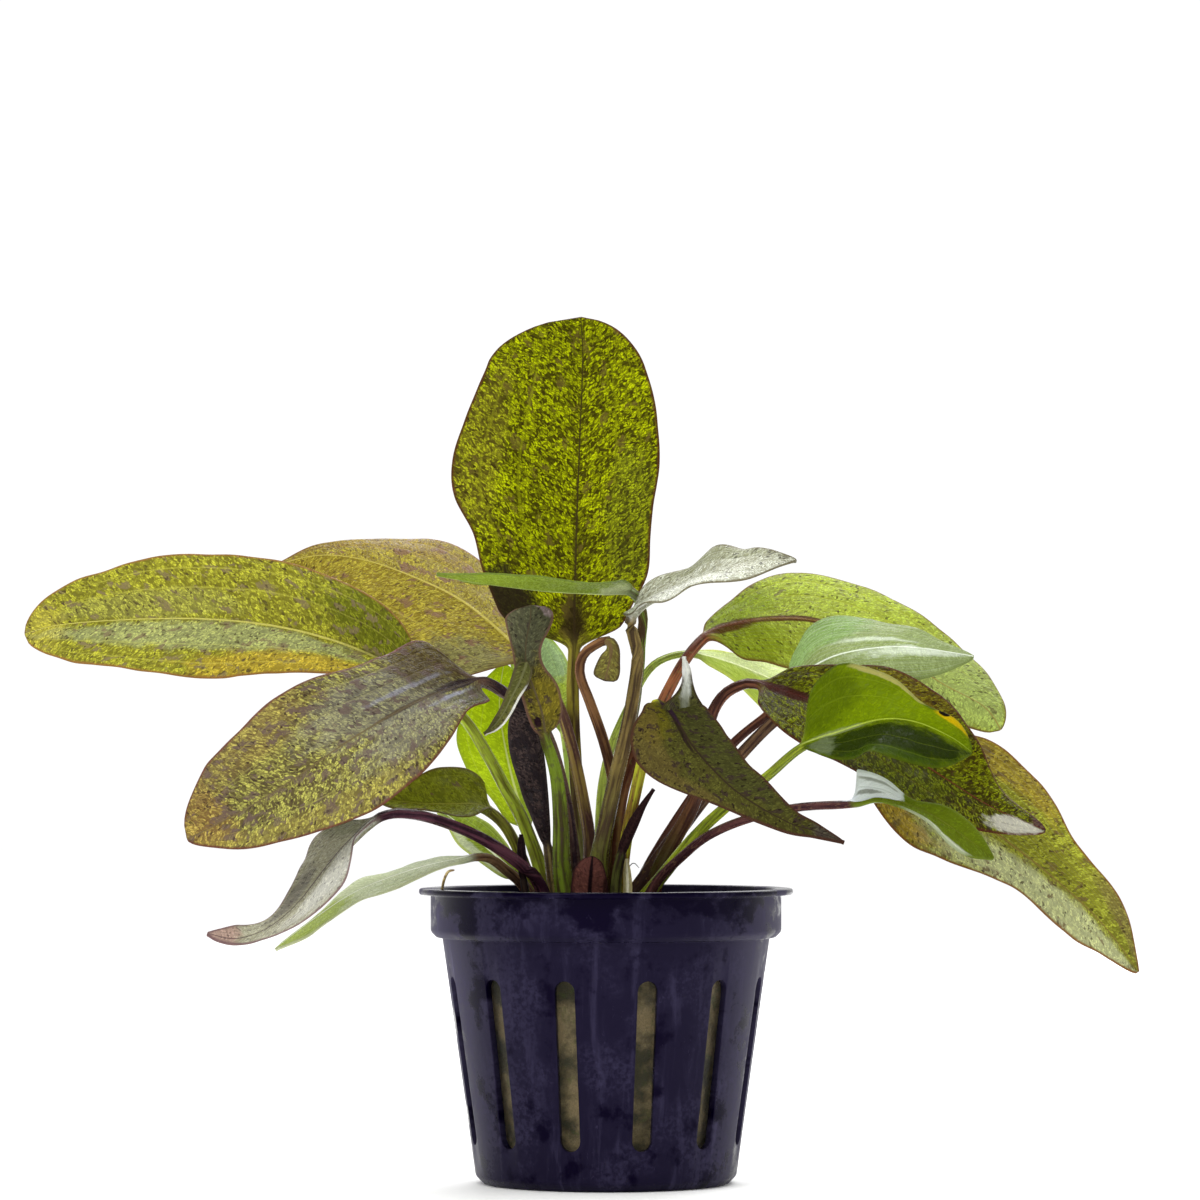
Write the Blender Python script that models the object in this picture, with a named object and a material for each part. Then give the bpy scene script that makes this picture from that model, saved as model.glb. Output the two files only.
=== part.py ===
"""A red-speckled echinodorus plant in a small net pot.

Metres, +Z up. The origin is the centre of the pot's underside. The plant is seen in its photograph
from -Y, with +X to the right. Leaf shapes are given in millimetres.
"""

import math
from typing import NamedTuple

import bmesh
import bpy
from mathutils import Vector

MM = 0.001
GAP = 0.3 * MM

# Pot
POT_HEIGHT = 44.0 * MM
LIP_RADIUS = 28.0 * MM
LIP_THICKNESS = 0.9 * MM
COLLAR_RADIUS = 26.25 * MM
COLLAR_HEIGHT = 6.4 * MM
WALL = 1.0 * MM
SHOULDER_RADIUS = 24.5 * MM
FOOT_RADIUS = 19.5 * MM
FOOT_CHAMFER = 1.2 * MM
FLOOR = 1.2 * MM
LIP_EDGE = 0.4 * MM  # rounding of the lip's edges
COLLAR_STEP = 0.9 * MM  # chamfer where the collar steps out from the wall
POT_SIDES = 48
SLOT_COUNT = 12
SLOT_WIDTH = 3.0 * MM
SLOT_BOTTOM = 6.0 * MM
SLOT_TOP = 31.0 * MM
CUT_OVERSHOOT = 2.0 * MM

# Mineral wool plug and crown
WOOL_TOP = POT_HEIGHT - 6.2 * MM
WOOL_SIDES = 32
WOOL_CLEARANCE = 0.7 * MM
WOOL_EDGE_DROP = 1.5 * MM
WOOL_EDGE_INSET = 2.5 * MM
CROWN_CENTRE = Vector((-1.6, -2.4, 0.0)) * MM
CROWN_RADIUS = 11.4 * MM
CROWN_HEIGHT = 2.0 * MM
CROWN_SIDES = 20
CROWN_PROFILE = ((0.86, 0.0), (1.0, 0.35), (0.9, 0.75), (0.6, 0.95))  # shares of its radius and height

# Leaves
BLADE_THICKNESS = 0.5 * MM
RIB_AT_TIP = 0.15 * MM
RIB_ABOVE = 0.2  # shares of the midrib that stand out of the upper and the lower face
RIB_BELOW = 0.8
TIP_HALF_WIDTH = 0.3 * MM
MERGE_SHARE = 0.07  # share of the blade over which the round stalk flattens into it
STALK_STEP = 7.0 * MM
STALK_SIDES = 8
FULL_WAVE_WIDTH = 5.0 * MM  # half width from which the margin waves in full
BLADE_STATIONS = (0.0, 0.035, 0.1, 0.2, 0.32, 0.45, 0.58, 0.7, 0.81, 0.9, 0.96, 1.0)
BASE_ROUNDING = 0.12
TIP_ROUNDING = 0.14
SAMPLES_PER_SPAN = 24
DIRECTION_REACH = 0.8 * MM

COLOURS = {
    "speckled_leaf": ((0.28, 0.30, 0.035), 0.35),
    "russet_leaf": ((0.34, 0.22, 0.05), 0.40),
    "green_leaf": ((0.13, 0.30, 0.03), 0.30),
    "lime_leaf": ((0.36, 0.55, 0.05), 0.35),
    "silvery_leaf": ((0.45, 0.52, 0.38), 0.22),
    "withered_leaf": ((0.045, 0.025, 0.03), 0.60),
    "dry_sheath": ((0.16, 0.075, 0.05), 0.75),
    "crown_tissue": ((0.20, 0.13, 0.06), 0.80),
    "mineral_wool": ((0.30, 0.24, 0.15), 0.95),
    "pot_plastic": ((0.012, 0.010, 0.025), 0.35),
}


class Leaf(NamedTuple):
    """One leaf or sheath, in millimetres.

    path      the midrib from the crown to the tip
    stalk     how many points of the path belong to the stalk
    round     the stalk's radius at the crown and at the blade
    left      half widths of the blade's left side, evenly spaced from base to tip
    right     the same for the right side; left and right are as seen on the upper face, tip up
    faces     where the upper face looks, evenly spaced from base to tip
    lifts     by how many degrees the left and the right side rise from flat
    wave      how far the margins wave, and how often
    """

    name: str
    finish: str
    path: tuple
    stalk: int
    round: tuple
    left: tuple
    right: tuple
    faces: tuple
    lifts: tuple = (10, 10)
    wave: tuple = (0.4, 2.0)


LEAVES = (
    Leaf(
        "leaf_top",
        "speckled_leaf",
        ((-2.2, 0.3, 40.4), (-3, 2.5, 48), (-4.2, 3.8, 57), (-4.8, 4, 66), (-5, 3, 73.5),
         (-4.8, 2, 79.5), (-4.7, 2.5, 87.3), (-4.4, 3.5, 99.4), (-3.9, 4, 113), (-3.5, 3, 123.5),
         (-3.8, 1, 129.8)),
        6,
        (1.1, 0.9),
        (8, 11.6, 13.9, 15.5, 18.8, 19.2, 17.8, 15.9, 14.2, 15),
        (7.6, 8.9, 11.5, 11.9, 12.4, 13, 12.5, 11.3, 9.3, 8.3),
        ((0, -1, 0),),
        (8, 20),
    ),
    Leaf(
        "leaf_edge_on",
        "green_leaf",
        ((-0.4, -2.4, 40.4), (0.4, -2.4, 48), (1.6, -1.8, 57), (3, -1.8, 62), (3.6, -3.6, 67.5),
         (4.6, -5.2, 73.7), (5.2, -5.4, 80.4), (5.4, -6.2, 85.4), (3.6, -9.4, 88.2), (-0.4, -15, 88.2),
         (-6.7, -21.5, 88.2), (-13.2, -26.6, 88.6), (-19.7, -30.5, 89.3), (-24.4, -32, 90)),
        9,
        (0.9, 0.7),
        (1, 4.5, 7.5, 8, 7.5, 5.5, 2),
        (1, 4.5, 7.5, 8, 7.5, 5.5, 2),
        ((0, 0.02, 1),),
        (5, 5),
        (0.3, 2.0),
    ),
    Leaf(
        "leaf_silver",
        "silvery_leaf",
        ((-1.4, -6.4, 40.4), (-1.2, -7, 47.6), (0.1, -7.6, 54), (1.6, -8, 61), (3, -7.9, 66.9),
         (4.1, -8.2, 72.9), (4.7, -8.8, 78.8), (3.6, -10.3, 83.6), (5.6, -13, 86.4), (10.5, -19, 88.4),
         (16.1, -26, 90.6), (22.1, -32, 91.6), (27.2, -35, 91.8)),
        8,
        (1.4, 0.85),
        (5, 5.5, 6.2, 6.8, 4.8, 2.9, 1.5),
        (2, 6, 8, 9, 9, 6.5, 2.5),
        ((0, -0.35, 0.94),),
        (28, -8),
        (0.5, 3.0),
    ),
    Leaf(
        "leaf_curled",
        "russet_leaf",
        ((1.3, 0.5, 40.4), (2.1, 2, 48.2), (1.7, 2, 55.7), (0.8, 1.5, 61.4), (-0.5, 0, 66.5),
         (-2.4, -1.5, 71.9), (-3.9, -2.5, 76.1), (-3.4, -3.2, 78.9), (-1.4, -4.2, 80.5), (0.2, -5, 81),
         (0.8, -6.4, 79.7), (0.4, -7.8, 77.4), (-0.2, -9, 75)),
        10,
        (0.9, 0.7),
        (0.8, 1.3, 1.7, 2.0, 1.9),
        (0.8, 1.2, 1.6, 2.0, 1.9),
        ((0.1, 0.9, 0.4),),
        (15, 15),
        (0.2, 1.0),
    ),
    Leaf(
        "leaf_far_left",
        "speckled_leaf",
        ((-6.6, 0.2, 40.4), (-9, 1, 44.5), (-10.8, 1.5, 49.7), (-12.9, 0.5, 55), (-15.1, -1, 59),
         (-17.6, -2, 63.7), (-20.6, -3, 68.6), (-24, -4, 72), (-27.3, -5, 74.4), (-30.7, -6, 76.5),
         (-38.1, -7, 79.9), (-45.4, -8, 82.1), (-52.8, -8.5, 83.4), (-61.7, -9, 84), (-72.1, -9, 83.8),
         (-81, -8.5, 83.1), (-86.3, -8, 81.8)),
        9,
        (1.1, 0.75),
        (3, 5.6, 8.8, 11.6, 12, 9.2, 6.3),
        (4, 8.8, 11.1, 11.4, 10.7, 8.4, 4.6),
        ((0, -0.8, 0.6),),
        (10, 10),
    ),
    Leaf(
        "leaf_back_left",
        "russet_leaf",
        ((-3.4, -2.6, 40.4), (-2.4, -1, 49.8), (-3.4, -0.6, 57.2), (-4.8, 0, 64), (-6.5, 1.5, 70),
         (-8.7, 5, 74.5), (-11.5, 10, 78.1), (-15, 16, 81.6), (-21, 23, 86.8), (-27.3, 29, 90.4),
         (-37, 36, 94.2), (-45, 40, 95.3), (-52.2, 42, 93.8)),
        7,
        (1.0, 0.8),
        (10, 14, 15.2, 14.9, 12.9, 9.5, 4.4),
        (2, 3.2, 7.1, 11, 10.8, 5, 1.2),
        ((0, -0.85, 0.5),),
        (0, -25),
    ),
    Leaf(
        "leaf_front_left",
        "speckled_leaf",
        ((-4.3, -5, 40.4), (-4.9, -4.2, 48.3), (-5.8, -4.2, 55), (-7.2, -5, 61.7), (-8.9, -6, 66.8),
         (-11.6, -6.4, 70.9), (-14.8, -7.8, 73), (-17, -10, 74.4), (-18.7, -12.4, 74.7),
         (-22.1, -17.5, 73.7), (-28.4, -27, 71), (-36.7, -36, 65.9), (-45, -41, 60),
         (-52.6, -43, 55.3), (-59.4, -43, 51.9)),
        9,
        (1.1, 0.85),
        (5.6, 5.6, 9, 11.7, 12.1, 7.6, 3),
        (10.2, 9.6, 9.8, 11.3, 11.6, 9.6, 6.8),
        ((0, -0.85, 0.5),),
        (8, 8),
    ),
    Leaf(
        "leaf_twisted",
        "russet_leaf",
        ((-5.3, -8, 40.4), (-6.5, -8.5, 46.9), (-6.7, -9.5, 54.3), (-7.3, -11, 60.6), (-8.3, -12, 64.4),
         (-9, -13.2, 66.5), (-9.5, -14.2, 70), (-10.5, -14.8, 73.3), (-11.6, -15, 76.7),
         (-11.7, -14.8, 80.2), (-11.1, -14.4, 83.6), (-11, -14, 86)),
        6,
        (1.5, 0.8),
        (1.4, 2.2, 2.2, 1.9, 2.3, 4, 4.9),
        (1.8, 3.1, 3.5, 2.7, 2.5, 3.6, 4.8),
        ((0.35, -1, 0.1), (0.25, -1, 0), (0, -1, 0), (-0.35, -1, 0), (-0.5, -1, 0), (-0.4, -1, 0.15)),
        (5, 5),
        (0.2, 1.0),
    ),
    Leaf(
        "leaf_dark",
        "withered_leaf",
        ((-7, -5.4, 40.4), (-8, -5.5, 45.4), (-8.6, -6, 49.8), (-9.4, -7.5, 57.3), (-10.2, -9, 63.2),
         (-11.4, -10.2, 69.4), (-12.6, -10.6, 72.8)),
        3,
        (0.9, 0.7),
        (0.8, 2, 3.2, 4, 4, 2),
        (0.5, 0.8, 1, 1.2, 1.2, 0.8),
        ((0.3, -1, 0),),
        (5, 5),
        (0.3, 3.0),
    ),
    Leaf(
        "leaf_lime",
        "lime_leaf",
        ((-5.2, 3, 40.4), (-9, 7, 46.2), (-11.8, 12, 52.6), (-14.3, 18.5, 60.1), (-15.9, 24, 67.1),
         (-16.5, 27.5, 72.5), (-15.8, 27.5, 78.2)),
        3,
        (0.9, 0.7),
        (2.5, 4, 6.4, 7.3, 4.8, 1.5),
        (1.5, 2.4, 3.8, 4.5, 4.3, 2.8),
        ((0, -0.9, 0.4),),
    ),
    Leaf(
        "leaf_back_middle",
        "lime_leaf",
        ((-2.6, 3.6, 40.4), (-3.9, 8, 49.6), (-5.2, 14, 58.6), (-6.3, 20, 67), (-7.7, 27, 71.7),
         (-9.3, 35, 75.7), (-10.8, 41, 79.7), (-12, 45, 83.4)),
        4,
        (0.9, 0.7),
        (1, 2.4, 4.8, 4.8, 2.2),
        (1, 2.5, 3.8, 4, 2.5),
        ((0, -0.9, 0.4),),
    ),
    Leaf(
        "leaf_low_green",
        "green_leaf",
        ((-9, -3.4, 40.4), (-11.3, -3.6, 45.3), (-13.1, -4.8, 49.8), (-15, -7, 53.4), (-17.2, -9, 55.5),
         (-19.3, -11.4, 56.4), (-22.9, -14.4, 56.5), (-26.6, -17, 56.6), (-30.2, -19, 57),
         (-33.9, -20, 57.4)),
        5,
        (0.9, 0.8),
        (1, 4, 6, 5.8, 4.2, 1.6),
        (4.6, 6.2, 6.1, 4.9, 2.7, 0.9),
        ((0, -0.7, 0.7),),
        (30, 30),
    ),
    Leaf(
        "leaf_striped",
        "green_leaf",
        ((-9.3, -0.6, 40.4), (-12.6, -0.2, 45.2), (-15.1, 1.2, 47.4), (-17.7, 4, 49.6),
         (-20.6, 8, 51.8), (-23.4, 13, 54.1), (-25.8, 17, 55.6)),
        2,
        (0.8, 0.6),
        (1.8, 2.9, 2.7, 1.6, 0.8),
        (1, 2.6, 3.4, 2.9, 1.2),
        ((0, -0.8, 0.6),),
    ),
    Leaf(
        "leaf_drooping",
        "silvery_leaf",
        ((-8.2, -8.9, 40.4), (-10.2, -10.4, 45.5), (-13, -12.4, 48), (-17, -16, 51), (-22.1, -21, 53.6),
         (-27.7, -27, 55.3), (-32.5, -32, 55), (-36.7, -36, 51.4), (-40.1, -39, 47.3),
         (-43.5, -41, 42.9), (-47.7, -42, 39.3), (-52.3, -42, 37.7), (-56.7, -41, 38.5)),
        7,
        (0.95, 0.7),
        (1, 3.4, 7.4, 11.6, 10.8, 2.1, 1),
        (4.5, 8.9, 7, 4.2, 2.9, 3.1, 1.3),
        ((-0.7, -0.4, 0.55),),
        (10, 10),
    ),
    Leaf(
        "leaf_pale_low",
        "silvery_leaf",
        ((-9.9, -7, 40.4), (-12.3, -7.2, 44.6), (-14.8, -8.6, 46.9), (-17, -11.4, 48.6),
         (-19.1, -14.4, 48.9), (-22.2, -17.4, 48.4), (-27.1, -22, 47.3), (-32.1, -26, 45.7),
         (-37, -29, 43.5), (-41.5, -31, 40.5), (-47.5, -33, 36)),
        5,
        (0.9, 0.6),
        (1.2, 2.4, 3.3, 4.2, 5.6, 4.3, 1.8),
        (2, 8.5, 7.1, 5.4, 4, 1.6, 1.3),
        ((0, -0.25, 0.97),),
        (8, -14),
    ),
    Leaf(
        "leaf_front_right",
        "speckled_leaf",
        ((2.3, -7.7, 40.4), (2.4, -7.9, 46.9), (3.2, -9.6, 52.9), (4.4, -13, 58.8), (5.7, -16, 64.7),
         (6.9, -19, 69.1), (7.3, -23, 71.3), (9.6, -30, 69.3), (12.7, -38, 64.4), (18.2, -45, 58.7),
         (25.1, -49, 54.5), (29.3, -50, 53.1), (33.4, -50, 51.6)),
        7,
        (0.9, 0.8),
        (5.6, 5.6, 5.7, 5.2, 4.2, 2.2, 0.9),
        (1.8, 5, 9.2, 10.5, 4, 1.8, 0.8),
        ((0.3, -0.85, 0.45),),
        (10, 10),
    ),
    Leaf(
        "leaf_upper_right",
        "speckled_leaf",
        ((1.1, -4.8, 40.4), (1.3, -5.2, 46.8), (1.8, -5.1, 55), (3.4, -5.2, 61.7), (6.6, -3.4, 68),
         (9.3, 1.5, 73.5), (11.8, 5.5, 78), (14.6, 9.5, 81.4), (17.7, 12.5, 83.3), (25.1, 16, 84.6),
         (32.8, 18, 84.2), (42.1, 19, 80.9), (51.3, 19, 74.9), (57.8, 18, 71.3), (60.4, 17, 67.8)),
        8,
        (1.0, 0.8),
        (1.4, 6, 12.5, 12.5, 10.9, 9.2, 3.1),
        (5.2, 7.2, 9.1, 8.7, 7.1, 4.8, 5),
        ((0, -0.6, 0.8),),
        (0, -25),
    ),
    Leaf(
        "leaf_pale_right",
        "silvery_leaf",
        ((4.2, 0.6, 40.4), (6.3, 1.2, 47), (12.6, 1.2, 57.2), (18.6, 0.4, 65.2), (24, -0.8, 69.8),
         (27.9, -2, 73.1), (29.9, -3, 76.1), (34.9, -4.6, 78.7), (42.2, -7, 79.8), (48.1, -9, 79.4),
         (54.4, -10.5, 78.4)),
        6,
        (0.9, 0.6),
        (0.8, 11, 10.2, 6.6, 3.3, 1.5),
        (2, 5.2, 7.6, 6.9, 4.5, 2),
        ((0, -0.5, 0.86),),
        (5, -25),
    ),
    Leaf(
        "leaf_middle_right",
        "russet_leaf",
        ((6.2, -4.2, 40.4), (7.3, -4.5, 45.3), (9.8, -5, 50.6), (12.9, -6, 56.5), (14.8, -7, 63.2),
         (15.4, -8, 68.9), (17.2, -9.5, 72.5), (19.8, -11, 74.2), (22, -12, 74.4), (26.3, -14, 73.1),
         (31.3, -16, 71.3), (38.6, -18.5, 67.6), (47.2, -21, 61.8), (55.9, -22, 56.3), (64, -22, 52.8)),
        9,
        (1.25, 0.75),
        (5, 6.8, 11.4, 11.8, 8.8, 4, 2.3),
        (4.2, 8.9, 10.8, 10.3, 10.5, 5.5, 3.2),
        ((0, -0.65, 0.75),),
    ),
    Leaf(
        "leaf_bright_right",
        "lime_leaf",
        ((3.8, -5.3, 40.4), (7.3, -8, 44.8), (12.8, -14, 51.7), (17.3, -20, 56.2), (23, -26, 60.6),
         (28.1, -32, 65), (33.5, -36, 67.1), (39.1, -39, 68.8), (43.9, -41, 68.5), (48.8, -42, 66.4),
         (51.9, -41, 64.2)),
        6,
        (1.0, 0.65),
        (8, 10.2, 10.4, 7.4, 3.3, 3, 2),
        (1, 4, 6.9, 9.8, 10.4, 7.9, 2.5),
        ((0, -0.8, 0.6),),
        (15, 20),
    ),
    Leaf(
        "leaf_small_right",
        "green_leaf",
        ((5, -7.6, 40.4), (7.5, -11, 45.2), (11.2, -15, 49), (14.9, -19, 52.1), (20.1, -25, 54.5),
         (27.2, -31, 56.3), (34.8, -37, 56.9), (38.4, -39, 57.7), (41.7, -41, 57.1), (45.9, -43, 55.4),
         (50.1, -44, 52.6), (54.8, -43, 49.2)),
        7,
        (0.7, 0.6),
        (6.2, 3.2, 1.2, 2.4, 2.3, 1.1),
        (0.8, 1, 1.2, 2.5, 3.6, 1.5),
        ((0.2, -0.7, 0.6),),
        (25, 15),
    ),
    Leaf(
        "leaf_low_right",
        "speckled_leaf",
        ((2.4, -2.4, 40.4), (6.6, -2, 46.5), (13, -2, 55.4), (19.9, -2, 63.7), (25.9, -2.6, 69.5),
         (30.8, -3, 71.3), (35.3, -3.6, 69.8), (41, -4.4, 65.5), (48.4, -6, 59.5), (57.4, -8, 52.5),
         (66, -10, 45.7), (73.2, -12, 38.8), (78.3, -13, 31.9)),
        7,
        (1.25, 0.7),
        (4.4, 7.8, 12.6, 12.4, 7.2, 5.6, 1.8),
        (4, 10.5, 13.7, 11.4, 7.7, 7, 3.2),
        ((0.4, -0.75, 0.5),),
    ),
    Leaf(
        "leaf_back_right",
        "lime_leaf",
        ((0.2, 3.6, 40.4), (-0.9, 6, 49.6), (-0.6, 11, 58.7), (0.9, 16, 65.5), (3.7, 20, 71.8),
         (6, 23, 76.3), (8.7, 25, 78.7), (13.1, 28, 79.6), (19.4, 33, 78.2), (27.4, 38, 75.1),
         (35.3, 41, 71.9), (43.3, 43, 69.2), (49.6, 43, 67.1)),
        8,
        (0.8, 0.55),
        (1.9, 2.8, 4.5, 7.2, 8.5, 7.1, 2.3),
        (1.5, 3.5, 6.5, 8.2, 8, 6, 2.4),
        ((0, -0.6, 0.8),),
        (0, -20),
    ),
    Leaf(
        "sheath_brown",
        "dry_sheath",
        ((-2.4, -11.7, 40.4), (-2.4, -12.3, 44.3), (-2.2, -12.6, 46.7), (-2, -12.4, 49)),
        1,
        (0.3, 0.3),
        (3, 3.1, 3, 2.7, 1.9),
        (3, 3.1, 2.8, 2.3, 1.5),
        ((0, -1, 0.05),),
        (-18, -18),
        (0.25, 2.0),
    ),
    Leaf(
        "sheath_pale",
        "dry_sheath",
        ((3.1, -9.5, 40.4), (3.2, -9.8, 44.3), (3.1, -10, 46.6), (3, -10, 48.6)),
        1,
        (0.2, 0.2),
        (0.75, 0.75, 0.7, 0.6, 0.3),
        (0.75, 0.75, 0.7, 0.6, 0.3),
        ((0, -1, 0.05),),
        (-20, -20),
        (0.1, 2.0),
    ),
    Leaf(
        "bract_spike",
        "withered_leaf",
        ((1.3, -10.2, 40.4), (1.5, -10.6, 45.2), (2.2, -11.5, 49.2), (3.5, -12.6, 52.7),
         (5.2, -13.6, 56.1), (7, -14.4, 58.9)),
        3,
        (0.8, 0.7),
        (0.7, 0.85, 0.8, 0.5, 0.3),
        (0.7, 0.85, 0.8, 0.5, 0.3),
        ((0, -1, 0),),
        (5, 5),
        (0.1, 1.0),
    ),
    Leaf(
        "bract_stub",
        "withered_leaf",
        ((-11.2, -9.2, 40.4), (-12.2, -9.6, 45.4), (-12.4, -9.6, 48.4), (-12.6, -9.4, 52.2)),
        2,
        (0.6, 0.5),
        (0.5, 0.75, 0.7, 0.4),
        (0.5, 0.7, 0.6, 0.4),
        ((0, -1, 0),),
        (5, 5),
        (0.1, 1.0),
    ),
)


def spline_point(a, b, c, d, u):
    """The Catmull-Rom curve from b to c at u, for points or numbers."""
    return 0.5 * (
        2.0 * b
        + (c - a) * u
        + (2.0 * a - 5.0 * b + 4.0 * c - d) * u ** 2
        + (3.0 * b - a - 3.0 * c + d) * u ** 3
    )


def along(values, share):
    """The value at a share from 0 to 1 of the way through evenly spaced values, on a smooth curve."""
    last = len(values) - 1
    if last == 0:
        return values[0]
    place = min(max(share, 0.0), 1.0) * last
    span = min(int(place), last - 1)
    before = values[max(span - 1, 0)]
    after = values[min(span + 2, last)]
    return spline_point(before, values[span], values[span + 1], after, place - span)


class Midrib:
    """A smooth curve through a leaf's points, read by the distance along it."""

    def __init__(self, points):
        knots = [Vector(p) * MM for p in points]
        self.samples = []
        self.knot_places = [0.0]
        self.places = []
        travelled = 0.0
        for span in range(len(knots) - 1):
            before = knots[max(span - 1, 0)]
            after = knots[min(span + 2, len(knots) - 1)]
            for step in range(SAMPLES_PER_SPAN + (span == len(knots) - 2)):
                u = step / SAMPLES_PER_SPAN
                point = spline_point(before, knots[span], knots[span + 1], after, u)
                if self.samples:
                    travelled += (point - self.samples[-1]).length
                self.samples.append(point)
                self.places.append(travelled)
                if step == 0 and span > 0:
                    self.knot_places.append(travelled)
        self.knot_places.append(travelled)

    def point(self, place):
        place = min(max(place, 0.0), self.places[-1])
        low, high = 0, len(self.places) - 1
        while high - low > 1:
            middle = (low + high) // 2
            if self.places[middle] <= place:
                low = middle
            else:
                high = middle
        share = (place - self.places[low]) / max(self.places[high] - self.places[low], 1e-9)
        return self.samples[low].lerp(self.samples[high], min(share, 1.0))

    def direction(self, place):
        return (self.point(place + DIRECTION_REACH) - self.point(place - DIRECTION_REACH)).normalized()


def end_rounding(share):
    """1 along the blade, falling to 0 in a quarter ellipse at its base and tip."""
    base = max(0.0, 1.0 - share / BASE_ROUNDING)
    tip = max(0.0, 1.0 - (1.0 - share) / TIP_ROUNDING)
    return math.sqrt(max(0.0, 1.0 - base ** 2)) * math.sqrt(max(0.0, 1.0 - tip ** 2))


def frame_at(leaf, midrib, place, share):
    """The midrib point there, with the directions to the leaf's right and out of its upper face."""
    ahead = midrib.direction(place)
    face = Vector(along([Vector(f) for f in leaf.faces], share))
    up = (face - ahead * face.dot(ahead)).normalized()
    return midrib.point(place), ahead.cross(up), up


def stalk_ring(leaf, midrib, place, radius):
    """The points round the stalk, from its left over the upper side to the right and back."""
    centre, right, up = frame_at(leaf, midrib, place, 0.0)
    return [
        centre + (right * -math.cos(turn) + up * math.sin(turn)) * radius
        for turn in (math.tau * k / STALK_SIDES for k in range(STALK_SIDES))
    ]


def level_cut(ring, height, ahead):
    """The ring slid along the stalk until all of it lies at one height."""
    return [p + ahead * ((height - p.z) / ahead.z) for p in ring]


def blade_ring(leaf, midrib, place, share):
    """Eight points round the blade: margin, upper half, midrib, upper half, margin, and below."""
    centre, right, up = frame_at(leaf, midrib, place, share)
    rib = leaf.round[1] * MM * (1.0 - share) + RIB_AT_TIP * share
    skin = BLADE_THICKNESS / 2
    upper, lower = {}, {}
    for side, widths, lift in ((-1, leaf.left, leaf.lifts[0]), (1, leaf.right, leaf.lifts[1])):
        half = max(along(widths, share) * MM * end_rounding(share), TIP_HALF_WIDTH)
        angle = math.radians(lift)
        outward = right * side * math.cos(angle) + up * math.sin(angle)
        normal = up * math.cos(angle) - right * side * math.sin(angle)
        wave = leaf.wave[0] * MM * math.sin(math.tau * leaf.wave[1] * share + side)
        margin = centre + outward * half + normal * wave * min(half / FULL_WAVE_WIDTH, 1.0)
        middle = centre.lerp(margin, 0.5)
        upper[side] = middle + normal * skin
        lower[side] = middle - normal * skin
        upper[2 * side] = margin
    ring = [upper[-2], upper[-1], centre + up * (skin + RIB_ABOVE * rib), upper[1]]
    return ring + [upper[2], lower[1], centre - up * (skin + RIB_BELOW * rib), lower[-1]]


def leaf_rings(leaf):
    """Every ring of the leaf, from the crown to the tip."""
    midrib = Midrib(leaf.path)
    start = midrib.knot_places[max(leaf.stalk - 1, 0)]
    length = midrib.places[-1] - start
    rings = []
    steps = max(3, round(start / STALK_STEP)) if leaf.stalk > 1 else 0
    for step in range(steps):
        share = step / steps
        radius = (leaf.round[0] + (leaf.round[1] - leaf.round[0]) * share) * MM
        ring = stalk_ring(leaf, midrib, start * share, radius)
        rings.append(ring if step else level_cut(ring, leaf.path[0][2] * MM, midrib.direction(0.0)))
    for share in BLADE_STATIONS:
        ring = blade_ring(leaf, midrib, start + length * share, share)
        if leaf.stalk > 1 and share < MERGE_SHARE:
            stalk = stalk_ring(leaf, midrib, start + length * share, leaf.round[1] * MM)
            ring = [a.lerp(b, share / MERGE_SHARE) for a, b in zip(stalk, ring)]
        rings.append(ring)
    return rings


def finish_material(finish):
    material = bpy.data.materials.get(finish)
    if material is None:
        colour, roughness = COLOURS[finish]
        material = bpy.data.materials.new(finish)
        material.use_nodes = True
        shader = material.node_tree.nodes["Principled BSDF"]
        shader.inputs["Base Color"].default_value = (*colour, 1.0)
        shader.inputs["Roughness"].default_value = roughness
        shader.inputs["Metallic"].default_value = 0.0
    return material


def add_object(name, shape, finish, crease_degrees=40):
    """An object of its own from a bmesh shape, with its faces pointing out."""
    bmesh.ops.recalc_face_normals(shape, faces=shape.faces)
    mesh = bpy.data.meshes.new(name)
    shape.to_mesh(mesh)
    shape.free()
    mesh.shade_smooth()
    mesh.set_sharp_from_angle(angle=math.radians(crease_degrees))
    mesh.materials.append(finish_material(finish))
    thing = bpy.data.objects.new(name, mesh)
    bpy.context.scene.collection.objects.link(thing)
    return thing


def add_loft(name, rings, finish):
    """A closed skin over rings of equal count."""
    shape = bmesh.new()
    rows = [[shape.verts.new(p) for p in ring] for ring in rings]
    for low, high in zip(rows, rows[1:]):
        count = len(low)
        for k in range(count):
            shape.faces.new((low[k], low[(k + 1) % count], high[(k + 1) % count], high[k]))
    shape.faces.new(rows[0])
    shape.faces.new(rows[-1])
    return add_object(name, shape, finish)


def add_turned(name, profile, sides, finish, centre=Vector((0, 0, 0))):
    """A body turned round the vertical axis from (radius, height) points that start and end on it."""
    turns = [math.tau * k / sides for k in range(sides)]
    rings = [
        [centre + Vector((radius * math.cos(turn), radius * math.sin(turn), height)) for turn in turns]
        for radius, height in profile[1:-1]
    ]
    shape = bmesh.new()
    rows = [[shape.verts.new(p) for p in ring] for ring in rings]
    for low, high in zip(rows, rows[1:]):
        for k in range(sides):
            shape.faces.new((low[k], low[(k + 1) % sides], high[(k + 1) % sides], high[k]))
    for row, (_, height) in ((rows[0], profile[0]), (rows[-1], profile[-1])):
        middle = shape.verts.new(centre + Vector((0, 0, height)))
        for k in range(sides):
            shape.faces.new((middle, row[k], row[(k + 1) % sides]))
    return add_object(name, shape, finish)


def wall_radius(height):
    """The outer radius of the pot's tapered wall."""
    shoulder = POT_HEIGHT - LIP_THICKNESS - COLLAR_HEIGHT
    return FOOT_RADIUS + (SHOULDER_RADIUS - FOOT_RADIUS) * height / shoulder


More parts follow.
